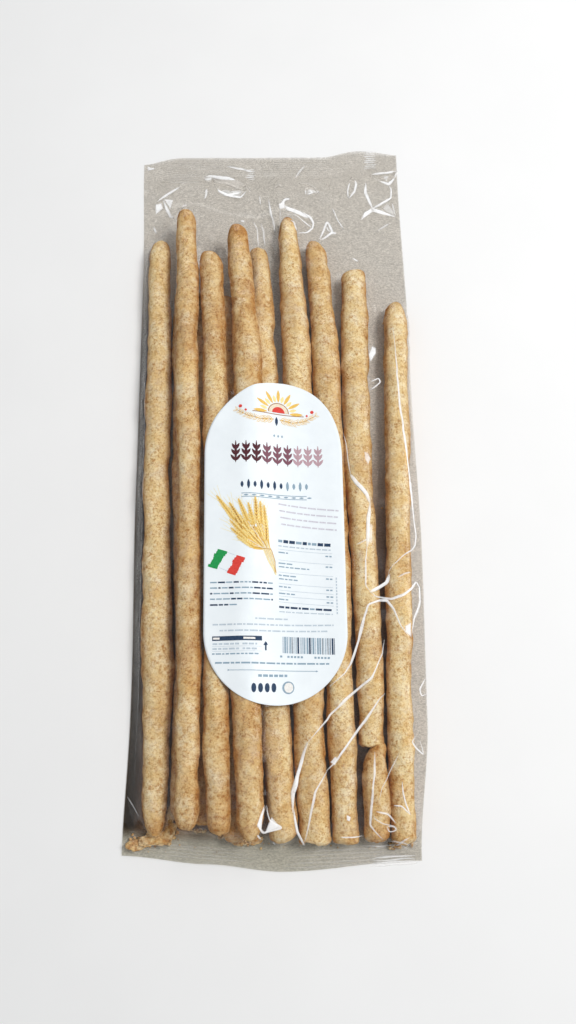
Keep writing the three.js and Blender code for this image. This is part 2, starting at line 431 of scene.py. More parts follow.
HIDDEN_LOOK = (End(5, 2.6, 0.5, 0.3), End(6, 2.4, 0.2, 0.3), 1.0)  # both ends and the toast of a hidden stick; its full toast is partly painted shade, darkening the gaps in which these sticks show
STICKS = [
    Stick("grissino_01", 6.9, -173.5, 129, (-53.4, -54.9, -58.6, -60.1, -61.6), (9.6, 15.0, 13.0, 12.9, 10.8),
          End(14, 2.0, 1.4, 0.6), End(11, 2.4, 0.3, 0.6), 0.08),
    Stick("grissino_02", 17.4, -169, 141, (-38.6, -39.0, -41.3, -44.3, -47.1), (10.8, 11.5, 11.3, 11.6, 9.8),
          End(9, 2.5, 0.8, 0.35), End(9, 2.6, 0.2, 0.45), 0.42),
    Stick("grissino_03", 17.4, -171, 116, (-23.5, -26.6, -27.6, -29.3, -34.1), (11.5, 11.5, 12.0, 12.5, 11.5),
          End(6, 2.6, 0.9, 0.5), End(8, 2.6, 0.2, 0.4, -1), 0.36),
    Stick("grissino_04", 17.8, -174, 132, (-9.8, -13.2, -13.2, -13.5, -19.9), (12.6, 13.5, 13.7, 15.2, 10.4),
          End(15, 2.2, 1.2, 0.5), End(9, 2.6, 0.6, 0.5, -1), 0.46),
    Stick("grissino_05", 6.9, -175, 124, (5.0, -1.0, -3.2, -4.6, -9.0), (13.4, 15.0, 13.8, 13.0, 10.2),
          End(5, 2.8, 0.6, 0.35, 1.5), End(6, 3.0, 0.2, 0.1), 0.10),
    Stick("grissino_06", 6.9, -176, 143, (18.9, 15.4, 13.5, 10.9, 6.1), (14.7, 14.1, 14.0, 15.3, 9.4),
          End(2, 4.5, 1.1, 0.1), End(13, 2.3, 0.3, 0.8), 0.04),
    Stick("grissino_07", 6.9, -176, 128, (33.5, 31.1, 29.4, 26.4, 21.3), (12.7, 13.2, 13.6, 15.2, 10.2),
          End(3, 3.6, 0.5, 0.4), End(9, 2.8, 0.3, 0.7, -2.5), 0.08),
    Stick("grissino_08", 6.9, -133.4, 111, (45.6, 44.4, 42.4, 41.4, 41.5), (11.9, 12.4, 13.7, 14.3, 12.9),
          End(2.5, 4.0, 0.5, 0.1), End(6, 3.0, 0.4, 0.1, 0.8), 0.0),
    Stick("grissino_08_foot", 7.6, -175, -131.6,
          (46.6, 47.4, 47.4, 46.8, 47.2), (11.4, 12.2, 12.0, 11.0, 10.2), End(4, 3.0, 0.8, 0.6),
          End(8, 2.3, 0.5, 0.7, 4), 0.35),
    Stick("grissino_09", 6.9, -176, 93, (58.9, 59.4, 61.1, 61.9, 62.5), (11.3, 12.3, 12.0, 13.4, 11.8),
          End(4, 3, 1.2, 0.2), End(14, 2.3, 0.3, 1.1, 1.5), 0.08),
    Stick("grissino_10", 5.9, -165, 100, (-42.0, -42.0, -44.9, -47.2, -49.0), (9.4, 9.4, 9.8, 10.0, 9.2),
          *HIDDEN_LOOK),
    Stick("grissino_11", 6.4, -168, 98, (-31.0, -32.5, -34.8, -37.0, -40.0), (11.6, 11.2, 11.8, 12.0, 11.2),
          *HIDDEN_LOOK),
    Stick("grissino_12", 6.6, -175, 96, (-17.0, -20.0, -20.8, -21.6, -26.5), (12.0, 12.4, 12.4, 12.4, 11.6),
          *HIDDEN_LOOK),
]
AROUND = 56  # points round a stick
RING_STEP = 1.0
END_RINGS = 9  # at least, and one for each mm
LOWEST_CRUST = 0.45  # the sticks' undersides are pressed flat on the back of the film
PRESSED = 0.8  # the depth of crust that is pressed
TIP_REACH = 6.0  # how quickly the browning of an end fades, in mm
# Bumps of the crust: depth, size and seed
CRUST_BUMPS = ((0.52, (8.0, 12.0, 8.0), 200), (0.34, (4.0, 5.0, 4.0), 300), (0.20, 2.2, 400))


def end_rings(end):
    """Depth from the tip and share of the full width of the rings that close an end, tip first."""
    angle = np.linspace(0.08, np.pi / 2, max(END_RINGS, round(end.length)))
    power = 2 / end.fullness
    return end.length * (1 - np.cos(angle) ** power), np.sin(angle) ** power


def stick_rings(stick):
    """The places of a stick's rings along it, and the share of its full width that each has."""
    foot_depth, foot_share = end_rings(stick.foot_end)
    head_depth, head_share = end_rings(stick.head_end)
    first, last = stick.foot + stick.foot_end.length, stick.head - stick.head_end.length
    middle = np.linspace(first, last, int((last - first) / RING_STEP) + 1)[1:-1]
    along = np.concatenate([stick.foot + foot_depth, middle, (stick.head - head_depth)[::-1]])
    return along, np.concatenate([foot_share, np.ones(len(middle)), head_share[::-1]])


def stick_course(stick, along, seed):
    """The middles of a stick's rings (x, y, z) and their full widths: a little uneven, as rolled by hand."""
    place = (along - stick.foot) / (stick.head - stick.foot)
    stations = np.linspace(0, 1, len(stick.widths))
    line = np.stack([along, np.zeros_like(along), np.full_like(along, seed * 7.3)], axis=1)
    shorter = min(1.0, (stick.head - stick.foot) / 200)
    axis_x = np.interp(place, stations, stick.axis_x) + shorter * 0.6 * lattice_noise(line, 34.0, seed)
    axis_z = stick.height + 0.3 * lattice_noise(line, 42.0, seed + 50)
    width = np.interp(place, stations, stick.widths) + 0.75 * lattice_noise(line, 17.0, seed + 100)
    return np.stack([smoothed(axis_x, 12), along, axis_z], axis=1), width


def closed_tube(points):
    """All points and faces of a tube of rings (rings, around, 3) that is closed by a point at each end."""
    rings, around = points.shape[:2]
    foot_tip, head_tip = rings * around, rings * around + 1
    last_ring = (rings - 1) * around
    caps = [(foot_tip, i, (i + 1) % around) for i in range(around)]
    caps += [(head_tip, last_ring + (i + 1) % around, last_ring + i) for i in range(around)]
    tips = [points[0].mean(0), points[-1].mean(0)]
    return np.concatenate([points.reshape(-1, 3), tips]), [*tube_faces(rings, around)[:, ::-1], *caps]


def stick_shape(stick, seed):
    """Points, faces and toastiness of one breadstick; the toastiness also holds painted shade along its
    sides.
    """
    along, share = stick_rings(stick)
    middles, width = stick_course(stick, along, seed)
    angle = np.linspace(0, 2 * np.pi, AROUND, endpoint=False)
    sideways, up = np.cos(angle), np.sin(angle)
    outward = np.stack([sideways, 0 * angle, up], axis=1)
    points = middles[:, None] + (width / 2 * share)[:, None, None] * outward

    def crust_noise(size, own_seed):
        """Noise at the points as they are now."""
        places = points.reshape(-1, 3) + [0, 0, seed * 40.0]
        return lattice_noise(places, size, seed + own_seed).reshape(points.shape[:2])

    relief = sum(depth * crust_noise(size, own_seed) for depth, size, own_seed in CRUST_BUMPS)
    points += (relief * np.minimum(1, 1.4 * share)[:, None])[:, :, None] * outward

    ends = ((stick.foot_end, stick.foot, 1), (stick.head_end, stick.head, -1))
    for end, tip, sign in ends:
        near = np.clip(1 - np.abs(along - tip) / (2.5 * max(end.length, 2.0)), 0, 1)[:, None]
        torn = crust_noise(2.6, 500 + sign)
        skew = end.skew * near * share[:, None] * sideways
        points[:, :, 1] += sign * end.ragged * near * (0.5 + torn) + skew
        points += (end.ragged * 0.4 * near * torn)[:, :, None] * outward

    height = points[:, :, 2]
    pressed = LOWEST_CRUST + PRESSED * np.exp((height - LOWEST_CRUST - PRESSED) / PRESSED)
    points[:, :, 2] = np.where(height < LOWEST_CRUST + PRESSED, pressed, height)

    # Browner underneath, as baked on the tray, and along the sides: partly real baking and partly painted
    # shade, stronger on the left, away from the key light.
    sides = np.where(sideways < 0, 1.0, 0.8) * smoothstep(np.abs(sideways), 0.58, 1.0)
    toast_and_shade = np.full(points.shape[:2], stick.toast_and_shade) + (0.35 * np.clip(-up, 0, 1) + sides)
    for end, tip, _ in ends:
        toast_and_shade += (end.browned * np.exp(-np.abs(along - tip) / TIP_REACH))[:, None]
    toast_and_shade += 0.42 * crust_noise((9.0, 22.0, 9.0), 600)
    toast_and_shade_values = np.concatenate([toast_and_shade.ravel(), [toast_and_shade[0].mean(), toast_and_shade[-1].mean()]])
    return *closed_tube(points), np.clip(toast_and_shade_values, 0, 1)


# ---- broken bits and crumbs


def ball(subdivisions):
    """Points on a unit ball and its faces."""
    maker = bmesh.new()
    bmesh.ops.create_icosphere(maker, subdivisions=subdivisions, radius=1.0)
    maker.verts.index_update()
    points = np.array([corner.co for corner in maker.verts])
    faces = [tuple(corner.index for corner in face.verts) for face in maker.faces]
    maker.free()
    return points, faces


# Broken bits at the foot: middle, half lengths, turn in degrees about the upright
BITS = [
    ((-62.2, -176.4, 2.4), (4.4, 2.4, 1.9), 10),
    ((-57.0, -174.6, 3.2), (4.8, 2.8, 2.5), 14),
    ((-52.0, -172.8, 3.2), (4.6, 3.2, 2.7), -8),
    ((-47.8, -170.2, 3.2), (3.2, 4.2, 2.6), -12),
    ((-47.4, -164.0, 2.2), (1.8, 3.4, 1.8), 0),
    ((-15.5, -174.0, 2.8), (3.4, 2.8, 2.2), -10),
    ((-8.0, -174.8, 2.3), (2.8, 1.8, 1.7), 15),
    ((56.5, -176.4, 2.0), (2.6, 1.7, 1.5), -8),
]

# Heaps of crumbs: middle, spread across and along, height and how many
HEAPS = [
    (-58.5, -175.6, 6.5, 2.6, 4.6, 110),
    (-48.5, -172.5, 4.5, 3.2, 4.6, 90),
    (-46.5, -165.0, 2.6, 3.6, 3.4, 30),
    (-33.0, -170.6, 5.5, 1.0, 2.6, 26),
    (-24.0, -173.0, 2.6, 1.5, 2.6, 20),
    (-12.0, -174.6, 5.5, 2.4, 4.0, 80),
    (57.0, -176.6, 5.5, 1.6, 2.8, 50),
]
LOOSE_CRUMBS = 60
CRUMB_SIZE = (0.22, 0.95)  # half width of the smallest and the largest


def rough_lump(points, middle, half, turn, seed, rough):
    """A ball's points made into a broken lump."""
    coarse, fine = lattice_noise(points, 0.9, seed), lattice_noise(points, 0.35, seed + 1)
    shape = points * (1 + rough * coarse + 0.7 * rough * fine)[:, None]
    shape = np.sign(shape) * np.abs(shape) ** 0.85 * half
    x, y = turned(shape[:, 0], shape[:, 1], math.radians(turn))
    placed = np.stack([x, y, shape[:, 2]], axis=1) + middle
    placed[:, 2] = np.maximum(placed[:, 2], LOWEST_CRUST)
    return placed


def broken_bits():
    bits = Joined()
    points, faces = ball(5)
    for i, (middle, half, turn) in enumerate(BITS):
        lump = rough_lump(points, middle, half, turn, 900 + 3 * i, 0.34)
        bits.add(lump, faces, np.clip(0.6 + 0.9 * lattice_noise(lump, 1.6, 950 + i), 0, 1))
    return bits


def crumbs():
    """Small crumbs: in heaps at the broken ends, the rest down between the sticks and along the foot."""
    random = np.random.default_rng(77)
    made = Joined()
    points, faces = ball(2)

    def drop(x, y, z, biggest):
        size = CRUMB_SIZE[0] + (biggest - CRUMB_SIZE[0]) * random.random() ** 1.6
        half = size * random.uniform(0.6, 1.25, 3)
        seed = 1000 + len(made.points)
        lump = rough_lump(points, (x, y, z + half[2] * 0.8), half, random.uniform(0, 180), seed, 0.3)
        made.add(lump, faces, np.full(len(points), random.uniform(0, 1)))

    for x, y, wide, long, height, count in HEAPS:
        for _ in range(count):
            across, along = random.normal(0, 0.45, 2)
            top = height * max(0.0, 1 - math.hypot(across, along))
            drop(x + wide * across, y + long * along, LOWEST_CRUST + random.random() * top, CRUMB_SIZE[1])
    for _ in range(LOOSE_CRUMBS):
        along = random.uniform(-180, -174) if random.random() < 0.5 else random.uniform(-172, 120)
        drop(random.uniform(-62, 64), along, LOWEST_CRUST, 0.55)
    return made


# ---- film

# The outline of the pack, as in its CAD model: points (place along the edge, X or Y of the edge)
LEFT_EDGE = ((-182, -69.4), (-120, -68.0), (0, -70.2), (110, -71.1), (182, -73.4))
RIGHT_EDGE = ((-182, 68.0), (-120, 73.0), (-45, 73.4), (60, 70.7), (182, 67.3))
FOOT_EDGE = ((-70, -181.5), (-30, -185.0), (4, -188.3), (67, -183.6))
HEAD_EDGE = ((-73, 180.6), (-52, 184.5), (25, 184.5), (45, 188.3), (67, 186.4))
SIDE_SPAN = (-182.0, 182.0)

SEAL = 12.5  # length of the crimped seals at the foot and the head
RIB_PITCH = 1.25
RIB_HEIGHT = 0.14
FILM_APART = 0.16  # half the distance between the two sheets in a seal
SEAL_ROWS = 44
FILM_COLUMNS = 194
FILM_ROWS = 412  # between the seals
BACK_SHARE = 2  # the back has every second row and column of the front
FILM_SAG = 0.1  # how much the free film curves downwards, for each mm
LABEL_SAG = 0.03
LABEL_SOFTENING = 40  # rounds
LABEL_LIFT = 0.35  # keeps the softened label off the crust
FILM_OVER_CRUST = 0.25
RELAX_ROUNDS = 700
RELAX_PUSH = 1.93  # over-relaxation


def through(points):
    """A smooth curve through points (place, value). It is level at each point."""
    places, values = np.array(points, float).T

    def curve(place):
        i = np.clip(np.searchsorted(places, place) - 1, 0, len(places) - 2)
        share = smoothstep(place, places[i], places[i + 1])
        return values[i] + share * (values[i + 1] - values[i])

    return curve


LEFT, RIGHT, FOOT, HEAD = (through(edge) for edge in (LEFT_EDGE, RIGHT_EDGE, FOOT_EDGE, HEAD_EDGE))
PACK_LENGTH = 376.6
SEAL_SHARE = SEAL / PACK_LENGTH
ROW_SHARES = np.concatenate([
    np.linspace(0, SEAL_SHARE, SEAL_ROWS, endpoint=False),
    np.linspace(SEAL_SHARE, 1 - SEAL_SHARE, FILM_ROWS, endpoint=False),
    np.linspace(1 - SEAL_SHARE, 1, SEAL_ROWS + 1),
])


def side_y(along):
    """Y on the pack's sides at a share of its length."""
    return SIDE_SPAN[0] + along * (SIDE_SPAN[1] - SIDE_SPAN[0])


def from_ends(x, y):
    """Distance from the nearer end of the pack."""
    return np.minimum(y - FOOT(x), HEAD(x) - y)


def film_grid():
    """X and Y of the film's points, seen from above: rows from the foot to the head."""
    along, across = np.meshgrid(ROW_SHARES, np.linspace(0, 1, FILM_COLUMNS + 1), indexing="ij")
    rough_y = side_y(along)
    x = LEFT(rough_y) + across * (RIGHT(rough_y) - LEFT(rough_y))
    return x, FOOT(x) + along * (HEAD(x) - FOOT(x))


def grid_place(x, y):
    """Row and column, with their parts, of any point on the film's grid."""
    along = np.clip((y - FOOT(x)) / (HEAD(x) - FOOT(x)), 0, 1)
    rough_y = side_y(along)
    across = np.clip((x - LEFT(rough_y)) / (RIGHT(rough_y) - LEFT(rough_y)), 0, 1)
    return np.interp(along, ROW_SHARES, np.arange(len(ROW_SHARES))), across * FILM_COLUMNS


def sample(heights, x, y):
    """The height of the film's grid at any points."""
    row, column = grid_place(x, y)
    i = np.minimum(row.astype(int), heights.shape[0] - 2)
    j = np.minimum(column.astype(int), heights.shape[1] - 2)
    a, b = row - i, column - j
    near = heights[i, j] * (1 - b) + heights[i, j + 1] * b
    far = heights[i + 1, j] * (1 - b) + heights[i + 1, j + 1] * b
    return near * (1 - a) + far * a


def seal_wave(x, y):
    """The gentle waves in which the sealed ends lie."""
    return 1.1 + 0.7 * flat_noise(x, y, (26.0, 40.0), 31) + 0.35 * flat_noise(x, y, (9.0, 30.0), 32)


def ribs(x, y):
    """Crimped ribs across the sealed ends."""
    inside = 1 - smoothstep(from_ends(x, y), SEAL - 1.5, SEAL)
    return inside * RIB_HEIGHT * np.sin(2 * np.pi * from_ends(x, y) / RIB_PITCH)


def crust_tops(grid_shape, shapes):
    """The highest crust over each point of the film's grid."""
    tops = np.zeros(grid_shape)
    for points in shapes:
        row, column = grid_place(points[:, 0], points[:, 1])
        np.maximum.at(tops, (np.rint(row).astype(int), np.rint(column).astype(int)), points[:, 2])
    spread = tops.copy()
    for i, j in itertools.product((-1, 0, 1), repeat=2):
        spread = np.maximum(spread, np.roll(tops, (i, j), (0, 1)))
    return spread


def stretch(heights, floors, step_x, step_y, sag):
    """Stretches a sheet over its floors, in place: its inner points go to the mean of their neighbours."""
    weight_x, weight_y = 1 / step_x**2, 1 / step_y**2
    total = 2 * (weight_x + weight_y)
    rows, columns = heights.shape
    parity = np.add.outer(np.arange(rows), np.arange(columns))[1:-1, 1:-1] % 2
    inner = heights[1:-1, 1:-1]
    for _ in range(RELAX_ROUNDS):
        for turn in (0, 1):
            beside = weight_x * (heights[1:-1, :-2] + heights[1:-1, 2:])
            level = (beside + weight_y * (heights[:-2, 1:-1] + heights[2:, 1:-1]) - sag) / total
            moved = np.maximum(inner + RELAX_PUSH * (level - inner), floors[1:-1, 1:-1])
            inner[parity == turn] = moved[parity == turn]


def film_heights(x, y, tops, sag, floor_more=0.0):
    """Heights of the stretched front film. Its rim and its sealed ends hold their place."""
    floors = np.maximum(np.maximum(tops + FILM_OVER_CRUST, 0.5), floor_more)
    sides = smoothstep(np.abs(np.linspace(-1, 1, x.shape[1])), 0.9, 1.0)
    heights = (seal_wave(x, y) + FILM_APART) * (1 - 0.45 * sides)
    free = slice(SEAL_ROWS, SEAL_ROWS + FILM_ROWS + 1)
    step_x = (x[0, -1] - x[0, 0]) / FILM_COLUMNS
    step_y = (PACK_LENGTH - 2 * SEAL) / FILM_ROWS
    stretch(heights[free], floors[free], step_x, step_y, sag)
    return heights


def soften(heights, rounds):
    """Rounds off a sheet's ridges, as stiff paper does."""
    for _ in range(rounds):
        wide = np.pad(heights, ((0, 0), (1, 1)), "edge")
        heights = (wide[:, :-2] + 2 * heights + wide[:, 2:]) / 4
        long = np.pad(heights, ((1, 1), (0, 0)), "edge")
        heights = (long[:-2] + 2 * heights + long[2:]) / 4
    return heights


# Folds of the loose film: height, how far they lean across for each mm along, size across and along, and seed
LONG_FOLDS = ((0.55, 0.0, (7.0, 46.0), 41), (0.40, 0.35, (9.0, 30.0), 42))
CRUMPLES = ((0.8, 0.0, (17.0, 21.0), 43), (0.6, -0.5, (10.0, 22.0), 44), (0.7, 0.6, (6.0, 13.0), 45))


def wrinkles(x, y, clearance):
    """Wrinkles of the loose film: long ones between the sticks and crumples in the empty ends."""
    head = smoothstep(y, 118, 158)
    foot = 1 - smoothstep(y, -178, -166)
    loose = smoothstep(clearance, 0.3, 3.5)
    rim = smoothstep(np.minimum(x - LEFT(y), RIGHT(y) - x), 0, 5)
    ends = smoothstep(from_ends(x, y), SEAL, SEAL + 9)
    long, crumple = (sum(height * folds(x + lean * y, y, size, seed) for height, lean, size, seed in layers)
                     for layers in (LONG_FOLDS, CRUMPLES))
    crumple = crumple + 0.5 * flat_noise(x, y, 9.0, 46)
    small = 0.10 * flat_noise(x, y, 3.6, 47)
    return rim * ends * loose * (long * (1 - head) + crumple * np.maximum(head, foot) + small)


def back_heights(x, y):
    """Heights of the back sheet: flat underneath, with its own ends in the seals."""
    sealed = 1 - smoothstep(from_ends(x, y), SEAL, SEAL + 14)
    lying = 0.16 + 0.10 * (1 + flat_noise(x, y, (13.0, 60.0), 61)) / 2
    return lying * (1 - sealed) + (seal_wave(x, y) - FILM_APART) * sealed


def film_sheets(x, y, front):
    """Points of the front and the back sheet, which share their rim."""
    every = (slice(None, None, BACK_SHARE),) * 2
    back_x, back_y = x[every], y[every]
    back = back_heights(back_x, back_y) + ribs(back_x, back_y)
    for edge in ((slice(None), 0), (slice(None), -1), (0, slice(None)), (-1, slice(None))):
        back[edge] = front[every][edge]
    return np.stack([x, y, front], axis=2), np.stack([back_x, back_y, back], axis=2)


# ---- creases in the film, and their painted highlights

# Sharp creases, white as stress-whitened film and as painted glints: width in mm, whiteness and the points
# (x, y) of each route
CREASES = [
    # the right side, from the head to the foot
    (1.1, 0.95, [(61, 74), (62, 55), (63, 32), (65, 16), (67, -5), (68, -18), (70, -33), (69, -38), (67, -41),
                 (61, -45), (57, -49), (55, -52), (55, -55)]),
    (2.1, 1.00, [(55.5, -53), (54, -57), (50, -59.5), (45.5, -62)]),
    (0.6, 0.50, [(34, 19), (35.5, 13), (37, -1), (38, -5)]),
    (2.2, 0.95, [(37.5, -3.5), (40, -7), (42.5, -10), (45.5, -13.5), (47, -18)]),
    (2.0, 0.85, [(47, -17), (46, -25.5), (45.5, -34.5), (45, -40)]),
    (1.0, 0.85, [(45, -38), (44, -46.5), (44, -59), (46, -62)]),
    (0.8, 0.50, [(45.5, -35.5), (43.5, -37), (39.5, -39)]),
    (1.5, 0.95, [(46, -62), (49, -64), (56, -65), (62, -63), (66, -60), (69, -56), (71, -58), (71, -65),
                 (69, -70), (67, -74), (66, -78), (65, -83)]),
    (0.9, 0.50, [(59, -55), (62.5, -53), (66, -52)]),
    (1.2, 0.90, [(65, -83), (63, -82), (60, -78), (57, -70), (54, -66), (50, -66), (45, -68), (43, -73),
                 (40, -85), (38, -91), (36, -96), (33, -100), (26, -106)]),
    (1.1, 0.85, [(52, -84), (51, -91), (46, -102), (37, -109), (26, -119), (25, -121), (15, -132)]),
    (1.9, 1.00, [(15.5, -131), (11, -146), (9, -153), (9, -162)]),
    (1.1, 1.00, [(9, -160), (11, -170), (14, -176), (15, -177)]),
    (1.2, 0.90, [(52, -109), (49, -112), (42, -122), (38, -127), (34, -132), (29, -139), (24, -144)]),
    (1.0, 0.80, [(25, -143), (19, -153), (16, -166), (14, -175)]),
    (1.1, 0.80, [(46.5, -135), (46, -145), (44, -160.5), (43.5, -167), (46, -170), (49.5, -173)]),
    (0.6, 0.45, [(58, -135), (52, -146.5), (49, -151.5), (47.5, -157.5)]),
    (0.8, 0.85, [(73, -101), (69, -107), (70, -110), (73, -109)]),
    (0.8, 0.85, [(66, -128), (64, -131), (66, -134), (70, -137), (68, -130)]),
    (0.8, 0.90, [(48, 46), (53, 48), (54, 46), (48, 41)]),
    (0.7, 0.45, [(42, 122), (45, 120)]),
    # over the feet of the sticks
    (0.9, 0.85, [(-3, -158), (-6, -166), (-4, -170), (4, -168), (-1, -165), (-3, -158)]),
    (0.8, 0.80, [(-7, -170), (-5, -173)]),
    (0.8, 0.80, [(0, -174), (1, -177)]),
    (0.8, 0.80, [(30, -172), (41, -172)]),
    (0.8, 0.70, [(46, -161), (51.5, -162), (53, -163.5), (55.5, -166.5)]),
    (0.7, 0.50, [(45, -162.5), (46, -164.5), (49.5, -166.5), (54.5, -167.5)]),
    (1.0, 0.70, [(51, -167.5), (54, -167.5), (55.5, -169), (54, -170), (52, -170), (51, -167.5)]),
    (1.0, 0.85, [(58.5, -148), (58.5, -153), (60, -158.5), (62, -162.5)]),
    (0.9, 0.80, [(54, -158.5), (58, -159), (62, -163)]),
    (0.7, 0.50, [(50, -177), (54, -174), (59.5, -175), (64, -178)]),
    (0.7, 0.50, [(53.5, -178), (58, -174), (62, -172)]),
    (0.6, 0.45, [(57, -175.5), (62, -179)]),
    (0.6, 0.50, [(40, -177), (50, -177.5), (56.5, -176)]),
    (0.7, 0.50, [(-68, -155.5), (-64.5, -159.5), (-61, -164)]),
    # the left rim
    (0.7, 0.22, [(-68.5, 95), (-67, 60), (-65.5, 26), (-65, -25), (-63.5, -110), (-64.5, -152)]),
    (0.6, 0.18, [(-70, 96), (-69, 67), (-68, 28), (-67.5, -14), (-66.5, -64)]),
    # the head flap, from left to right
    (1.8, 0.95, [(-65.5, 157), (-62.5, 160), (-53, 166.5)]),
    (1.6, 0.90, [(-62.5, 159), (-59.5, 151.5), (-53.5, 136.5)]),
    (1.0, 0.80, [(-67, 141.5), (-66.5, 140), (-64.5, 135.5)]),
    (1.1, 0.60, [(-52, 152.5), (-50.5, 154.5), (-48.5, 155)]),
    (1.4, 0.80, [(-38.5, 165.5), (-38.5, 161.5), (-39.5, 158.5)]),
    (2.4, 1.00, [(-40, 172), (-36.5, 173), (-27.5, 171), (-16, 167)]),
    (1.6, 1.00, [(-35.5, 170), (-27, 168.5), (-20.5, 165.5), (-16.5, 164.5)]),
    (1.9, 1.00, [(-34.5, 168.5), (-31, 163.5), (-25.5, 161), (-19.5, 160), (-16, 164.5)]),
    (1.4, 0.95, [(-29, 161), (-23.5, 162.5), (-19, 163)]),
    (1.2, 0.90, [(-23, 167.5), (-21, 167), (-22, 165), (-23, 167.5)]),
    (1.1, 0.85, [(-17.5, 167), (-15.5, 165), (-14, 163)]),
    (1.0, 0.85, [(-16, 167.5), (-13.5, 163.5)]),
    (1.3, 0.75, [(-28, 179), (-24, 178.5), (-11.5, 175.5)]),
    (1.0, 0.65, [(-9, 161), (-8.5, 155)]),
    (1.2, 0.80, [(-4, 159), (-3.5, 154.5), (0, 132)]),
    (1.0, 0.60, [(-12.5, 144.5), (-10, 135.5), (-8.5, 120)]),
    (1.0, 0.55, [(-8, 142.5), (-6.5, 133.5), (-5.5, 122)]),
    (0.9, 0.50, [(2.5, 152.5), (2.5, 137)]),
    (1.3, 0.80, [(-1, 165.5), (2, 168.5), (3, 166), (4.5, 166.5)]),
    (1.6, 0.90, [(2.5, 155.5), (5, 159), (8, 159)]),
    (1.2, 0.95, [(13, 151.5), (19, 147.5), (20.5, 144), (20, 139.5), (16.5, 134.5), (12, 131.5)]),
    (1.3, 0.95, [(8, 148), (13, 145), (16.5, 142), (20, 139.5)]),
    (1.2, 0.80, [(8, 139), (10, 138), (11.5, 132.5)]),
    (1.1, 0.50, [(10.5, 171), (13.5, 176), (16.5, 179.5)]),
    (1.5, 0.85, [(12.5, 169), (13.5, 168.5), (17.5, 169), (21.5, 166.5), (24, 162.5)]),
    (1.3, 0.90, [(16.5, 161.5), (16.5, 166), (18.5, 164.5), (20.5, 163), (17, 161.5)]),
    (1.4, 0.90, [(23, 128.5), (25.5, 138), (28, 144.5), (29.5, 142.5), (31, 138.5), (28.5, 136),
                 (23, 128.5)]),
    (1.0, 0.80, [(28, 142.5), (28.5, 139.5), (30.5, 138.5)]),
    (1.3, 0.90, [(29.5, 137), (31, 138), (33.5, 137.5)]),
    (1.1, 0.40, [(28, 169), (30.5, 164.5)]),
    (1.0, 0.75, [(31, 153.5), (33.5, 146.5), (37.5, 139.5)]),
    (1.4, 0.90, [(42, 173), (44, 171), (44.5, 168), (43.5, 163.5), (40, 159)]),
    (1.2, 0.85, [(42, 173), (41, 170), (40, 165), (40, 159)]),
    (1.5, 0.95, [(50, 169.5), (49.5, 163), (51, 158.5), (53.5, 152)]),
    (1.5, 0.95, [(62.5, 168), (64, 165), (63.5, 159.5), (58, 156), (53, 152.5)]),
    (1.4, 0.90, [(52, 173.5), (62, 175), (67.5, 176.5)]),
    (1.7, 0.90, [(52, 173.5), (57.5, 170.5), (62.5, 168), (65.5, 171.5), (67.5, 176.5)]),
    (0.9, 0.60, [(64, 156.5), (66, 148)]),
    (1.0, 0.50, [(55.5, 139), (59, 141.5), (62.5, 144)]),
]

# Painted highlights: bright facets of the film, white where glints would be: whiteness and the outline
GLINT_FACETS = [
    (0.90, [(-72, 179.5), (-66.5, 177.5), (-71.5, 176.5)]),
    (0.95, [(-66.5, 155.5), (-63, 156.5), (-62, 153), (-66, 149)]),
    (0.80, [(-62, 159), (-56.5, 158.5), (-58, 152.5)]),
    (0.75, [(-40, 171.5), (-35.5, 172.5), (-35.5, 169), (-39, 169)]),
    (0.70, [(-35.5, 171.5), (-27.5, 170.5), (-16, 167.5), (-20, 166), (-27, 167.5), (-34.5, 169)]),
    (0.40, [(-34.5, 168.5), (-32, 167), (-23.5, 163), (-16.5, 164.5), (-19.5, 160), (-25, 161),
            (-30, 163.5)]),
    (0.85, [(-19, 145), (-17, 144.5), (-17, 142), (-19, 143)]),
    (0.90, [(1.5, 156), (5, 157.5), (5, 153), (2, 152.5)]),
    (0.95, [(4, 155.5), (8.5, 153.5), (13.5, 151.5), (19, 147), (16.5, 146.5), (11.5, 148.5), (5.5, 152)]),
    (0.45, [(16, 166.5), (19.5, 167.5), (21.5, 165.5), (23.5, 162.5), (20.5, 162.5), (17.5, 161.5)]),
    (0.50, [(57, 172.5), (62, 173.5), (64.5, 172.5), (62, 169.5), (58.5, 171)]),
    (0.95, [(46.5, 145.5), (48.5, 150.5), (53, 153.5), (53.5, 151)]),
    (0.95, [(53, 153.5), (58, 152), (66, 148), (65.5, 147.5), (57.5, 149.5), (53, 151)]),
    (0.40, [(61.5, 156.5), (65, 151.5), (65.5, 148), (61.5, 150.5), (58.5, 153)]),
    (0.60, [(28, 143.5), (30, 140.5), (30, 139)]),
    (0.80, [(41, 122), (42.5, 122), (45, 120), (44, 119.5)]),
    (0.90, [(62, -78), (65, -76), (65, -83), (62, -81)]),
    (0.90, [(26, -140), (28, -137.5), (30, -138), (28, -141.5)]),
    (0.80, [(33, -162.5), (35, -163.5), (34.5, -165.5), (33, -165)]),
    (0.90, [(50, 66), (52, 65), (52, 62), (49, 57), (48, 61)]),
    (0.60, [(44.5, 8.5), (46.5, 8), (48, 5), (46.5, 2), (45, 4)]),
    (0.50, [(45.5, -27.5), (48, -28.5), (47.5, -37.5), (46, -38.5)]),
    (0.95, [(-7, -166.5), (-5.5, -162), (-3.5, -157.5), (-4.5, -164), (-5, -169)]),
    (0.90, [(3.5, -168), (-0.5, -163), (-2, -166), (-3.5, -170)]),
]
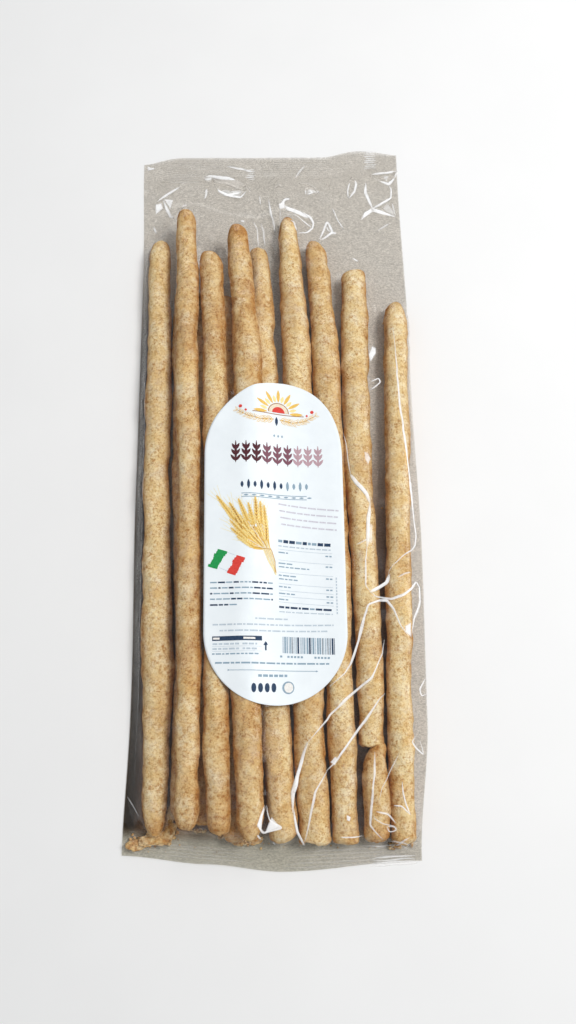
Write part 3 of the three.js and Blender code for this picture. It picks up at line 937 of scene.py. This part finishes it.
# Ribs of the seals with painted highlights, white where they would catch the light: from x to x, from y to y,
# how many, how far each rises to the right and its whiteness
BRIGHT_RIBS = [
    (-17.0, -11.0, 168.5, 176.5, 8, 0.2, 0.75),
    (48.5, 56.5, 177.5, 187.5, 9, 0.2, 0.75),
    (44.0, 66.0, -186.0, -182.6, 4, 1.4, 0.75),
    (-64.0, -20.0, 169.0, 181.0, 9, 1.5, 0.16),
    (-8.0, 40.0, 176.5, 183.0, 5, 0.5, 0.14),
    (-60.0, -4.0, -180.5, -176.0, 4, -4.0, 0.16),
    (2.0, 62.0, -187.0, -180.5, 5, 3.2, 0.20),
]
CREASE_STEP = 0.5
CREASE_HEIGHT = 0.07  # for each mm of width
CREASE_ACROSS = 7  # points
CREASE_WOBBLE = 0.28
# Rings of a facet, from its outline to its middle: share of its size, height over the film and whiteness of
# its painted highlight
FACET_RINGS = ((1.0, -0.03, 0.2), (0.94, 0.05, 0.45), (0.8, 0.10, 0.8), (0.6, 0.13, 1.0), (0.4, 0.15, 1.0),
               (0.2, 0.16, 1.0))


def along_route(route, step):
    """Points every step along straight lines through a route, with their distance from its start."""
    route = np.array(route, float)
    lengths = np.concatenate([[0], np.cumsum(np.hypot(*np.diff(route, axis=0).T))])
    places = np.linspace(0, lengths[-1], max(4, int(lengths[-1] / step)))
    return np.stack([np.interp(places, lengths, route[:, i]) for i in (0, 1)], axis=1), places


def headings(line):
    """The unit directions ahead along a line, and those to its right."""
    ahead = np.gradient(line, axis=0)
    ahead /= np.linalg.norm(ahead, axis=1, keepdims=True)
    return ahead, np.stack([ahead[:, 1], -ahead[:, 0]], axis=1)


def round_outline(outline, step):
    """Points every step round a closed outline, and their middle."""
    line = along_route([*outline, outline[0]], step)[0][:-1]
    return line, line.mean(0)


def crease_shape(route, width, whitening_and_glint, heights, seed):
    """A thin ridge of folded film along a route: its skin above and below, closed to a point at both ends."""
    line, places = along_route(route, CREASE_STEP)
    wobble = np.stack([line_noise(places, 5.0, seed), line_noise(places, 5.0, seed + 1)], axis=1)
    line = line + CREASE_WOBBLE * wobble
    line = np.stack([smoothed(line[:, i], 3) for i in (0, 1)], axis=1)
    sideways = headings(line)[1]
    taper = np.sin(np.pi * np.clip(places / places[-1], 0.02, 0.98)) ** 0.45
    full = taper * (1 + 0.45 * line_noise(places, 7.0, seed + 2))
    lean = 0.35 * np.sign(line_noise(places[:1], 9.0, seed + 3))

    across = np.linspace(-1, 1, CREASE_ACROSS)
    profile = np.cos(np.pi / 2 * across) ** 1.3
    offset = (across[None, :] + lean * profile[None, :]) * (full * width / 2)[:, None]
    spots = line[:, None, :] + offset[:, :, None] * sideways[:, None, :]
    base = sample(heights, spots[:, :, 0], spots[:, :, 1])
    above = base + 0.05 + CREASE_HEIGHT * width * full[:, None] * profile
    top = np.dstack([spots, above])
    under = np.dstack([spots, base - 0.03])[:, -2:0:-1]
    rings = np.concatenate([top, under], axis=1)
    around = rings.shape[1]
    faces = [*tube_faces(len(line), around), tuple(range(around))]
    faces.append(tuple((len(line) - 1) * around + i for i in reversed(range(around))))
    strength = whitening_and_glint * np.concatenate([0.75 + 0.25 * profile, np.zeros(around - CREASE_ACROSS)])
    values = np.tile(strength, (len(line), 1)) * np.clip(taper * 1.2, 0, 1)[:, None]
    return rings.reshape(-1, 3), faces, values.ravel()


def facet_shape(outline, whitening_and_glint, heights, seed):
    """A small raised facet of film: rings that close on the middle of its outline."""
    line, middle = round_outline(outline, CREASE_STEP)
    shares, rises, strengths = np.array(FACET_RINGS).T
    spots = middle + shares[:, None, None] * (line - middle)
    base = sample(heights, spots[:, :, 0], spots[:, :, 1])
    tilt = 0.10 * lattice_noise(np.dstack([spots, base]).reshape(-1, 3), 4.0, seed).reshape(base.shape)
    rings = np.dstack([spots, base + (rises[:, None] + tilt * (1 - shares[:, None]))])
    around = len(line)
    faces = [*tube_faces(len(shares), around), tuple((len(shares) - 1) * around + i for i in range(around))]
    area = np.sum(line[:, 0] * np.roll(line[:, 1], -1) - np.roll(line[:, 0], -1) * line[:, 1])
    if area < 0:
        faces = [tuple(reversed(face)) for face in faces]
    return rings.reshape(-1, 3), faces, np.repeat(whitening_and_glint * strengths, around)


# Painted highlights: white creases, facets and ribs that stand in for glints on the film, partly real stress
# whitening
def film_creases_and_glints(heights):
    made = Joined()
    for i, (width, whitening_and_glint, route) in enumerate(CREASES):
        made.add(*crease_shape(route, width, whitening_and_glint, heights, 2000 + 5 * i))
    for i, (left, right, low, high, count, rise, whitening_and_glint) in enumerate(BRIGHT_RIBS):
        for k, y in enumerate(np.linspace(low, high, count)):
            route = [(left + 0.5 * (k % 3), y), (right - 0.6 * (k % 2), y + rise)]
            made.add(*crease_shape(route, 0.8, whitening_and_glint, heights, 2600 + 40 * i + 4 * k))
    for i, (whitening_and_glint, outline) in enumerate(GLINT_FACETS):
        made.add(*facet_shape(outline, whitening_and_glint, heights, 3000 + i))
    return made


FIN = (-8.0, 2.0)  # X of the fin seam that runs down the back
FIN_UNDER_BACK = 0.1


def fin_seam():
    """The folded seam of the tube, pressed flat along the middle of the back, under it to both ends."""
    y = np.arange(-183, 183.5, 1.5)
    wide, long = np.meshgrid(np.linspace(*FIN, 7), y)
    wide = wide + 0.35 * line_noise(long, 40.0, 71)
    height = np.maximum(back_heights(wide, long) - FIN_UNDER_BACK, 0.03)
    return np.dstack([wide, long, height]).reshape(-1, 3), grid_faces(len(y), 7)


# ---- label

LABEL_WIDTH = 67.0
LABEL_LENGTH = 157.4
LABEL_HEAD_RISE = 38.0
LABEL_MIDDLE = (0.6, -36.2)
LABEL_TURN = math.radians(0.9)
LABEL_OVER_FILM = 0.14
LABEL_COLUMNS = 60
LABEL_ROWS = 140
PRINT_OVER_LABEL = 0.06
PRESSED_MARGIN = 0.6  # round the label, where the film takes its shape
SMOOTH_MARGIN = 2.0  # round the label, where the film has no wrinkles
LABEL_LEAN = 4.6  # how far right of the label's axis the tip of its head comes


def label_half_width(along):
    """Half the label's width at a distance along its axis from its middle."""
    from_foot, from_head = along + LABEL_LENGTH / 2, LABEL_LENGTH / 2 - along
    foot_share = np.maximum(0, 1 - from_foot / (LABEL_WIDTH / 2))
    head_share = np.maximum(0, 1 - from_head / LABEL_HEAD_RISE)
    return LABEL_WIDTH / 2 * np.sqrt(np.maximum(0, 1 - np.maximum(foot_share, head_share) ** 2))


def label_axis(along):
    """How far right of the label's straight axis its outline is centred: the head leans over a little."""
    return LABEL_LEAN * np.maximum(0, 1 - (LABEL_LENGTH / 2 - along) / LABEL_HEAD_RISE) ** 2


def on_label(across, along):
    """X and Y of a place on the label, measured from its middle."""
    x, y = turned(across, along, LABEL_TURN)
    return LABEL_MIDDLE[0] + x, LABEL_MIDDLE[1] + y


def label_mask(x, y, margin):
    """True where a point lies under the label, or within a margin of it."""
    across, along = turned(x - LABEL_MIDDLE[0], y - LABEL_MIDDLE[1], -LABEL_TURN)
    inside = np.abs(along) < LABEL_LENGTH / 2 + margin
    scaled = np.clip(along, -LABEL_LENGTH / 2, LABEL_LENGTH / 2)
    return inside & (np.abs(across - label_axis(scaled)) < label_half_width(scaled) + margin)


def label_shape(heights):
    """The label as a thin closed sheet over the film."""
    sweep = np.pi * np.linspace(0.004, 0.996, LABEL_ROWS + 1)
    along = (-LABEL_LENGTH / 2 * np.cos(sweep))[:, None]
    across = label_axis(along) + label_half_width(along) * np.linspace(-1, 1, LABEL_COLUMNS + 1)[None, :]
    x, y = on_label(across, along)
    top = sample(heights, x, y) + LABEL_OVER_FILM
    upper = np.dstack([x, y, top]).reshape(-1, 3)
    lower = upper - [0, 0, LABEL_OVER_FILM * 0.7]
    rows, columns = x.shape
    count = rows * columns
    index = np.arange(count).reshape(rows, columns)
    rim = [*index[0, :-1], *index[:-1, -1], *index[-1, :0:-1], *index[:0:-1, 0]]
    walls = [(a, a + count, b + count, b) for a, b in zip(rim, [*rim[1:], rim[0]])]
    faces = [*grid_faces(rows, columns), *grid_faces(rows, columns, count, False), *walls]
    return np.concatenate([upper, lower]), faces


# ---- label print

INKS = {
    "navy": (0.022, 0.050, 0.105),
    "steel": (0.27, 0.38, 0.47),
    "mist": (0.52, 0.60, 0.67),
    "lilac": (0.62, 0.60, 0.67),
    "maroon": (0.085, 0.020, 0.028),
    "plum": (0.21, 0.085, 0.115),
    "rose": (0.50, 0.33, 0.37),
    "red": (0.72, 0.060, 0.045),
    "green": (0.015, 0.30, 0.075),
    "gold": (0.83, 0.53, 0.12),
    "straw": (0.94, 0.77, 0.36),
    "ochre": (0.60, 0.34, 0.08),
    "bran": (0.36, 0.15, 0.035),
    "cream": (0.82, 0.72, 0.56),
    "ivory": (0.86, 0.84, 0.80),
}
PRINT_STEP = 1.0  # the longest side of a printed face, so that print follows the curved paper


class Print:
    """Flat shapes on the label, kept by ink. Places are (across, along) from the label's middle."""

    def __init__(self, heights):
        self.heights = heights
        self.inks = {name: Joined() for name in INKS}

    def patch(self, ink, spots, faces, over):
        x, y = on_label(*spots.T)
        z = sample(self.heights, x, y) + LABEL_OVER_FILM + PRINT_OVER_LABEL * over
        self.inks[ink].add(np.stack([x, y, z], axis=1), faces)

    def stroke(self, ink, route, widths, over=1.0):
        """A line along a route, of one width or with a width at each of its evenly spaced parts."""
        line, places = along_route(route, PRINT_STEP)
        widths = np.atleast_1d(widths)
        width = np.interp(places / places[-1], np.linspace(0, 1, len(widths)), widths)
        side = headings(line)[1] * width[:, None] / 2
        count = len(line)
        faces = [(i, i + 1, count + i + 1, count + i) for i in range(count - 1)]
        self.patch(ink, np.concatenate([line + side, line - side]), faces, over)

    def bar(self, ink, left, right, middle, height, slope=0.0, over=1.0):
        """A bar to the right. slope is its rise for each mm."""
        self.stroke(ink, [(left, middle), (right, middle + slope * (right - left))], height, over)

    def shape(self, ink, outline, over=1.0):
        """An outline, counter-clockwise, filled by rings that close on its middle."""
        line, middle = round_outline(outline, PRINT_STEP * 0.8)
        count = max(1, int(np.hypot(*(line - middle).T).max() / PRINT_STEP))
        spots = [middle + share * (line - middle) for share in np.arange(1, count + 1) / count]
        around = len(line)
        ring = range(around)
        faces = [(0, 1 + i, 1 + (i + 1) % around) for i in ring]
        for k in range(count - 1):
            near, far = 1 + k * around, 1 + (k + 1) * around
            faces += [(near + i, far + i, far + (i + 1) % around, near + (i + 1) % around) for i in ring]
        self.patch(ink, np.concatenate([[middle], *spots]), faces, over)

    def oval(self, ink, across, along, half_width, half_height, over=1.0):
        angle = np.linspace(0, 2 * np.pi, 14 if half_width < 2 else 40, endpoint=False)
        outline = np.stack([half_width * np.cos(angle), half_height * np.sin(angle)], axis=1)
        self.shape(ink, outline + [across, along], over)

    def leaf(self, ink, foot, head, width, over=1.0):
        """A leaf or a grain, pointed at both ends."""
        self.stroke(ink, [foot, head], width * np.sin(np.pi * np.linspace(0.04, 0.96, 7)) ** 0.8, over)

    def words(self, ink, left, right, middle, height, seed, slope=0.0, longest=5.0, bold=0.0):
        """A line of plain bars, as long as words, that stands for small print. Some may be bold."""
        random = np.random.default_rng(seed)
        start = left
        while start < right - 0.6:
            end = min(right, start + random.uniform(1.0, longest))
            strong = random.random() < bold
            rise = middle + slope * (start - left)
            self.bar("navy" if strong else ink, start, end, rise, height * (1.2 if strong else 1), slope)
            start = end + 0.55

    def make(self):
        for name, shapes in self.inks.items():
            if shapes.count:
                shapes.make("print_" + name, ink_material(name, INKS[name]), "label", "label")


EAR_SIZE = 1.35
EAR_LIT = 0.5  # the share of a grain that the light on it takes up


def straight(start, end):
    """The unit direction from a point to another, and the one to its left."""
    ahead = (end - start) / np.linalg.norm(end - start)
    return ahead, np.array([-ahead[1], ahead[0]])


def ear(p, foot, head, inks, over):
    """An ear of wheat from its foot to its head: grains in pairs up a stalk, smaller near the head.

    inks are those of the stalk, of the grains and of the light on them.
    """
    stalk, grain, light = inks
    ahead, aside = straight(foot, head)
    p.stroke(stalk, [foot, head], (0.4 * EAR_SIZE, 1.4 * EAR_SIZE, 0.3 * EAR_SIZE), over)
    pairs = max(3, round(np.linalg.norm(head - foot) / (1.05 * EAR_SIZE)))
    for i in range(pairs):
        small = EAR_SIZE * (1 - 0.45 * (i / pairs) ** 2)
        for side in (-1, 1):
            start = foot + (head - foot) * i / pairs + aside * side * small * 0.12
            end = start + small * (1.65 * ahead + 0.78 * side * aside)
            p.leaf(grain, start, end, small * 0.66, over + 0.15)
            lit_from = start + (end - start) * (0.5 - EAR_LIT / 2)
            p.leaf(light, lit_from, end, small * 0.66 * EAR_LIT, over + 0.5)
    p.leaf(grain, head - ahead * EAR_SIZE * 0.5, head + ahead * EAR_SIZE, EAR_SIZE * 0.55, over + 0.15)


def branch(p, route, size):
    """A branch with pairs of ivory leaves edged in gold."""
    line, places = along_route(route, 0.5)
    ahead, right = headings(line)
    p.stroke("bran", route, (0.35, 0.2))
    for at in np.arange(0.4, places[-1], size * 0.85):
        k = int(np.searchsorted(places, at))
        small = size * (1 - 0.35 * at / places[-1])
        for side in (1, -1):
            end = line[k] + small * (1.3 * ahead[k] + 0.95 * side * right[k])
            p.leaf("gold", line[k], end, small * 0.62, 1.2)
            p.leaf("ivory", line[k] + (end - line[k]) * 0.12, end, small * 0.32, 1.8)


def sun_and_branches(p):
    """A rising sun over two leafy branches: the plain ornament of the label's head."""
    middle = np.array((2.4, 62.8))
    rays = [np.array((math.cos(angle), math.sin(angle))) for angle in np.radians(np.linspace(0, 180, 13))]
    for k, ray in enumerate(rays):
        ink, reach = ("straw", 9.2) if k % 2 else ("gold", 12.0)
        p.leaf(ink, middle + ray * 5.6, middle + ray * reach, 1.7)
    for ink, radius, over in (("bran", 5.2, 1.0), ("cream", 4.8, 1.8), ("red", 3.1, 2.6)):
        p.shape(ink, [middle + radius * ray for ray in rays], over)
    p.bar("bran", middle[0] - 12.6, middle[0] + 12.6, middle[1] - 0.9, 0.4)
    for side in (-1, 1):
        x = middle[0] - 0.9
        route = ((1.4, 59.2), (8, 58.2), (14, 59.4), (19.5, 62.6))
        branch(p, [(x + side * out, y) for out, y in route], 2.1)
        p.oval("red", x + side * 17.6, 64.4, 0.95, 0.95, 2.4)
        p.oval("red", x + side * 15.0, 62.4, 0.7, 0.7, 2.4)
    p.leaf("navy", (1.4, 56.0), (1.4, 60.4), 1.5, 2.2)


def label_head(p):
    """The ornament, and rows of sprigs and grains that take the place of the names."""
    sun_and_branches(p)
    for k in range(3):
        p.oval("steel", 0.2 + 1.9 * k, 50.6, 0.5, 0.8)
    count, foot = 9, 36.0
    for k in range(count):
        x = -18.4 + 40.0 * k / (count - 1)
        ink = ("maroon", "plum", "rose")[3 * k // count]
        p.leaf(ink, (x, foot - 0.4), (x, foot + 10.6), 1.3)
        for y in (foot + 0.4, foot + 3.2, foot + 6.0):
            for side in (-1, 1):
                p.leaf(ink, (x, y), (x + side * (2.5 - 0.12 * (y - foot)), y + 3.2), 1.45)
    for k in range(11):
        tall = 2.3 if k % 2 else 1.5
        x, y = -15.4 + 3.1 * k, 24.8 + 0.1 * k
        p.leaf("navy" if k < 7 else "steel", (x, y - tall), (x, y + tall), 1.5)
    for k in range(2):
        p.bar("steel", -15.8, 15.6, 20.3 - 1.7 * k, 0.35, 0.02)
    for k in range(9):
        p.leaf("steel", (-14.6 + 3.8 * k, 19.4 + 0.08 * k), (-12.4 + 3.8 * k, 19.5 + 0.08 * k), 0.8, 1.4)
    for k in range(4):
        p.words("lilac", 1.8 + 0.4 * k, 31.0 - 0.4 * k, 16.4 - 3.3 * k, 0.7, 80 + k, -0.1, 5.0)


# The sheaf's ears: tip and foot
EARS = [
    ((-21.5, 12.6), (-15.2, 2.6)), ((-20.6, 6.6), (-12.8, -2.0)), ((-16.2, 9.0), (-10.4, -1.0)),
    ((-12.0, 9.2), (-8.2, -1.8)), ((-8.4, 9.6), (-6.4, -0.6)), ((-27.0, 18.6), (-19.2, 7.6)),
    ((-21.0, 15.0), (-15.3, 5.2)), ((-16.8, 16.6), (-12.8, 6.6)), ((-12.3, 14.6), (-9.8, 4.6)),
    ((-9.1, 17.6), (-8.4, 7.0)), ((-6.8, 15.6), (-6.2, 5.6)), ((-5.0, 13.8), (-4.4, 3.2)),
    ((-4.2, 7.6), (-4.0, -2.2)), ((-20.0, 2.8), (-11.4, -4.8)), ((-17.0, -1.4), (-9.8, -6.0)),
]


def wheat_sheaf(p):
    """A sheaf of ripe wheat that leans to the left, its stems drawn together to a point."""
    waist = np.array((-3.8, -6.4))
    for k, (tip, foot) in enumerate(EARS):
        tip, foot = np.array(tip), np.array(foot)
        over = 0.8 + 0.14 * k
        ahead, aside = straight(foot, tip)
        at_waist = waist + [0.27 * (k - 7), 0.1 * (k % 3)]
        end = np.array((0.4 - 0.12 * (k % 5), -18.2 + 0.5 * (k % 3)))
        p.stroke("gold", [(tip + foot) / 2, foot, at_waist], (1.4, 1.9, 0.6), 0.6)
        stem = ("straw", "cream", "ochre")[k % 3]
        p.stroke(stem, [foot, at_waist, (at_waist + end) / 2 + [0.1 * (k - 6), 0], end], 0.36, over)
        reach = 5.0 if tip[0] < -19 else 2.4  # the outer ears have the longest awns
        for lean in (-0.35, -0.12, 0.12, 0.35):
            start = tip - ahead * 4
            p.stroke("straw", [start, start + (ahead + aside * lean) * (4 + reach)], (0.26, 0.1), 0.7)
        inks = ("ochre", "gold", "straw") if k % 3 else ("bran", "gold", "straw")
        ear(p, foot, tip, inks, over)


def label_table(p):
    """The heading, rules and rows of the table at the right."""
    p.words("steel", 1.5, 26.8, -1.8, 1.25, 90, -0.07, 3.4, 0.6)
    p.words("mist", 1.5, 26.6, -4.2, 0.6, 91, -0.07, 3.0)
    for k, top in enumerate((-5.8, -11.0, -16.8, -22.2, -25.4, -28.2, -31.0)):
        p.bar("mist", 1.4, 27.3, top, 0.18, -0.076)
        if k < 6:
            p.words("steel", 1.5, 6.0 + (k * 37 % 5), top - 1.5, 0.6, 100 + k, -0.07, 3.4)
            p.words("steel", 24.0, 27.2, top - 3.1, 0.65, 120 + k, -0.07, 1.4)
    p.words("steel", 1.6, 16.4, -14.2, 0.55, 104, -0.07, 3.0)
    p.words("steel", 1.6, 10.4, -20.0, 0.55, 105, -0.07, 3.0)
    p.words("steel", 1.5, 27.0, -33.4, 0.8, 130, -0.06, 4.0, 0.6)
    p.words("mist", 1.5, 26.8, -35.6, 0.5, 131, -0.05, 3.5)
    for y in np.arange(-36.8, -19.6, 1.5):
        p.stroke("mist", [(28.9, y), (28.9, y + 1.0)], 0.6)


def brushed_flag(p):
    """Three slanting fields, the outer two of rough brush strokes in green and red."""
    random = np.random.default_rng(8)
    wide = 4.2
    for ink, x, y in (("green", -25.2, -7.8), ("red", -16.4, -11.0)):
        for k in range(8):
            spot = np.array((x - 0.55 * k, y - k))
            more = random.uniform(-0.5, 0.5, 2)
            start, end = spot - [wide / 2 + more[0], -0.7], spot + [wide / 2 + more[1], -0.7]
            p.stroke(ink, [start, end], (1.3, 1.5, 1.3), 1.0 + 0.05 * k)
    for points in ([(-22.4, -8.2), (-18.6, -9.8)], [(-26.2, -15.4), (-22.4, -17.2)]):
        p.stroke("mist", points, 0.15)


def label_foot(p):
    """Small print, the dark heading with its rows, the bars for the till and the weight's place."""
    for k, y in enumerate((-22.4, -25.0, -27.6, -30.2, -32.9)):
        right = -18.0 if k == 4 else -1.4
        p.words("steel", -30.5, right, y, 0.62, 140 + k, 0.0, 4.2, 0.35)
    for k, (left, right) in enumerate(((-9.6, 6.0), (-29.2, 27.0), (-26.0, 24.0))):
        p.words("mist", left, right, -39.2 - 2.8 * k, 0.68, 150 + k, 0.0, 4.0)
    p.bar("navy", -29.4, -6.6, -48.4, 2.1, 0.004)
    p.bar("ivory", -29.0, -26.0, -48.4, 0.9, 0, 1.8)
    p.bar("ivory", -15.0, -9.6, -48.3, 0.9, 0, 1.8)
    for k, y in enumerate((-50.9, -53.1)):
        p.words("mist", -29.2, -17.0, y, 0.8, 160 + k, 0.0, 3.2)
        p.words("mist", -15.4, -8.8, y, 0.8, 170 + k, 0.0, 2.6)
        p.bar("mist", -29.4, -6.8, y - 1.1, 0.14)
    p.words("steel", -29.4, -8.2, -55.4, 0.62, 162, 0.0, 3.2)
    p.stroke("navy", [(-4.9, -53.8), (-4.9, -50.8)], 0.75)
    p.shape("navy", [(-6.0, -51.4), (-3.8, -51.4), (-4.9, -49.4)])

    random = np.random.default_rng(5)
    x = 2.8
    while x < 27.4:
        width = random.choice((0.3, 0.3, 0.55, 0.8))
        drop = -0.035 * (x - 2.8)
        ink = random.choice(("navy", "steel", "steel", "mist"))
        p.stroke(ink, [(x + width / 2, y + drop) for y in (-54.9, -47.3)], width)
        x += width + random.choice((0.28, 0.28, 0.5))
    for start, end in ((1.6, 2.6), (5.0, 13.0), (17.6, 25.4)):
        p.words("steel", start, end, -56.4 - 0.035 * start, 0.9, int(start * 10), -0.03, 1.0)

    p.words("steel", -28.0, 25.0, -59.4, 0.75, 180, -0.01, 4.6)
    p.bar("steel", -21.6, 18.2, -62.7, 0.28, -0.015)
    for x, y in ((-21.9, -62.7), (18.5, -63.3)):
        p.oval("steel", x, y, 0.75, 0.5)
    p.words("steel", -8.4, 4.8, -65.3, 1.1, 190, 0.0, 2.2)
    for k in range(4):
        p.oval("navy", -10.4 + 3.0 * k, -70.7, 1.1, 2.2)
    p.oval("steel", 5.2, -70.7, 2.8, 2.9)
    p.oval("ivory", 5.4, -70.7, 2.1, 2.3, 1.8)


# ---- build of the object

sticks = {stick.name: stick_shape(stick, 11 * (i + 1)) for i, stick in enumerate(STICKS)}
bits = broken_bits()
specks = crumbs()

crust = crust_material()
for name, (points, faces, toast_and_shade) in sticks.items():
    make_piece(name, points, faces, crust, "bread", "bag", {"toast_and_shade": toast_and_shade})
bits.make("broken_bits", crust, "bread", "bag", "toast_and_shade")
specks.make("crumbs", crust, "bread", "bag", "toast_and_shade")

grid_x, grid_y = film_grid()
crust_points = [shape[0] for shape in sticks.values()] + bits.points + specks.points
tops = crust_tops(grid_x.shape, crust_points)
label_level = soften(film_heights(grid_x, grid_y, tops, LABEL_SAG), LABEL_SOFTENING) + LABEL_LIFT
under_label = label_mask(grid_x, grid_y, PRESSED_MARGIN)
film_level = film_heights(grid_x, grid_y, tops, FILM_SAG, np.where(under_label, label_level, 0))
film_level = np.where(under_label, label_level, film_level)
bare = 1 - label_mask(grid_x, grid_y, SMOOTH_MARGIN)
front_level = film_level + bare * wrinkles(grid_x, grid_y, film_level - tops)
front_level = np.maximum(front_level, tops + 0.1) + ribs(grid_x, grid_y)

front_film = film_material("clear_film", FRONT_TINT)
back_film = film_material("back_film", BACK_TINT, 0.0, (0.5, 0.13), shaded=True)
seam_film = film_material("seam_film", SEAM_TINT, 0.0, gloss=0.0)
front, back = film_sheets(grid_x, grid_y, front_level)
make_piece("film_front", front.reshape(-1, 3), grid_faces(*grid_x.shape), front_film, "film", "bag")
make_piece("film_back", back.reshape(-1, 3), grid_faces(*back.shape[:2], 0, False), back_film, "film", "bag")
make_piece("film_fin_seam", *fin_seam(), seam_film, "film", "bag")
# painted highlights of the film's folds; they cast no shadow
glints = film_creases_and_glints(front_level).make("film_creases_and_glints", fold_material(), "film", "bag", "whitening_and_glint")
glints.visible_shadow = False

make_piece("label_paper", *label_shape(front_level), paper_material(), "label", "label")
label = Print(front_level)
for draw in (label_head, wheat_sheaf, label_table, brushed_flag, label_foot):
    draw(label)
label.make()

# ---- floor, lights and camera

FLOOR_HALF = 3.0  # metres
LIGHT_DISTANCE = 1.3


def make_floor():
    mesh = bpy.data.meshes.new("floor")
    corners = [(FLOOR_HALF * x, FLOOR_HALF * y, 0) for x, y in ((-1, -1), (1, -1), (1, 1), (-1, 1))]
    mesh.from_pydata(corners, [], [(0, 1, 2, 3)])
    mesh.materials.append(floor_material())
    add_object("floor", mesh)


def area_light(name, azimuth, elevation, size, power):
    """A square light that shines on the pack from an azimuth, counted from +X, and an elevation."""
    light = bpy.data.lights.new(name, "AREA")
    light.shape = "SQUARE"
    light.size = size
    light.energy = power
    holder = add_object(name, light)
    across, up = math.cos(math.radians(elevation)), math.sin(math.radians(elevation))
    away = (*turned(across, 0, math.radians(azimuth)), up)
    holder.location = Vector(away) * LIGHT_DISTANCE
    holder.rotation_euler = (-Vector(away)).to_track_quat("-Z", "Y").to_euler()
    return holder


def make_lights():
    area_light("key", 12, 60, 0.42, 12.0).visible_glossy = False
    area_light("far", 80, 52, 0.40, 1.2).visible_glossy = False
    area_light("right_window", 8, 27, 0.60, 2.2).visible_diffuse = False
    area_light("far_window", 98, 33, 0.60, 2.2).visible_diffuse = False
    world = bpy.data.worlds.new("studio")
    world.use_nodes = True
    background = world.node_tree.nodes["Background"]
    background.inputs["Color"].default_value = (0.97, 0.985, 1.0, 1)
    background.inputs["Strength"].default_value = 0.39
    bpy.context.scene.world = world
    bpy.context.scene.view_settings.view_transform = "Standard"


CAMERA_AT = (6.75, -125.2, 425.2)
CAMERA_TILT = 14.0  # degrees from straight down
CAMERA_LENS = 30.59


def make_camera():
    data = bpy.data.cameras.new("camera")
    data.lens = CAMERA_LENS
    data.sensor_width = 36.0
    camera = add_object("camera", data)
    camera.location = [c * METRES for c in CAMERA_AT]
    camera.rotation_euler = (math.radians(CAMERA_TILT), 0, 0)
    bpy.context.scene.camera = camera


make_floor()
make_lights()
make_camera()
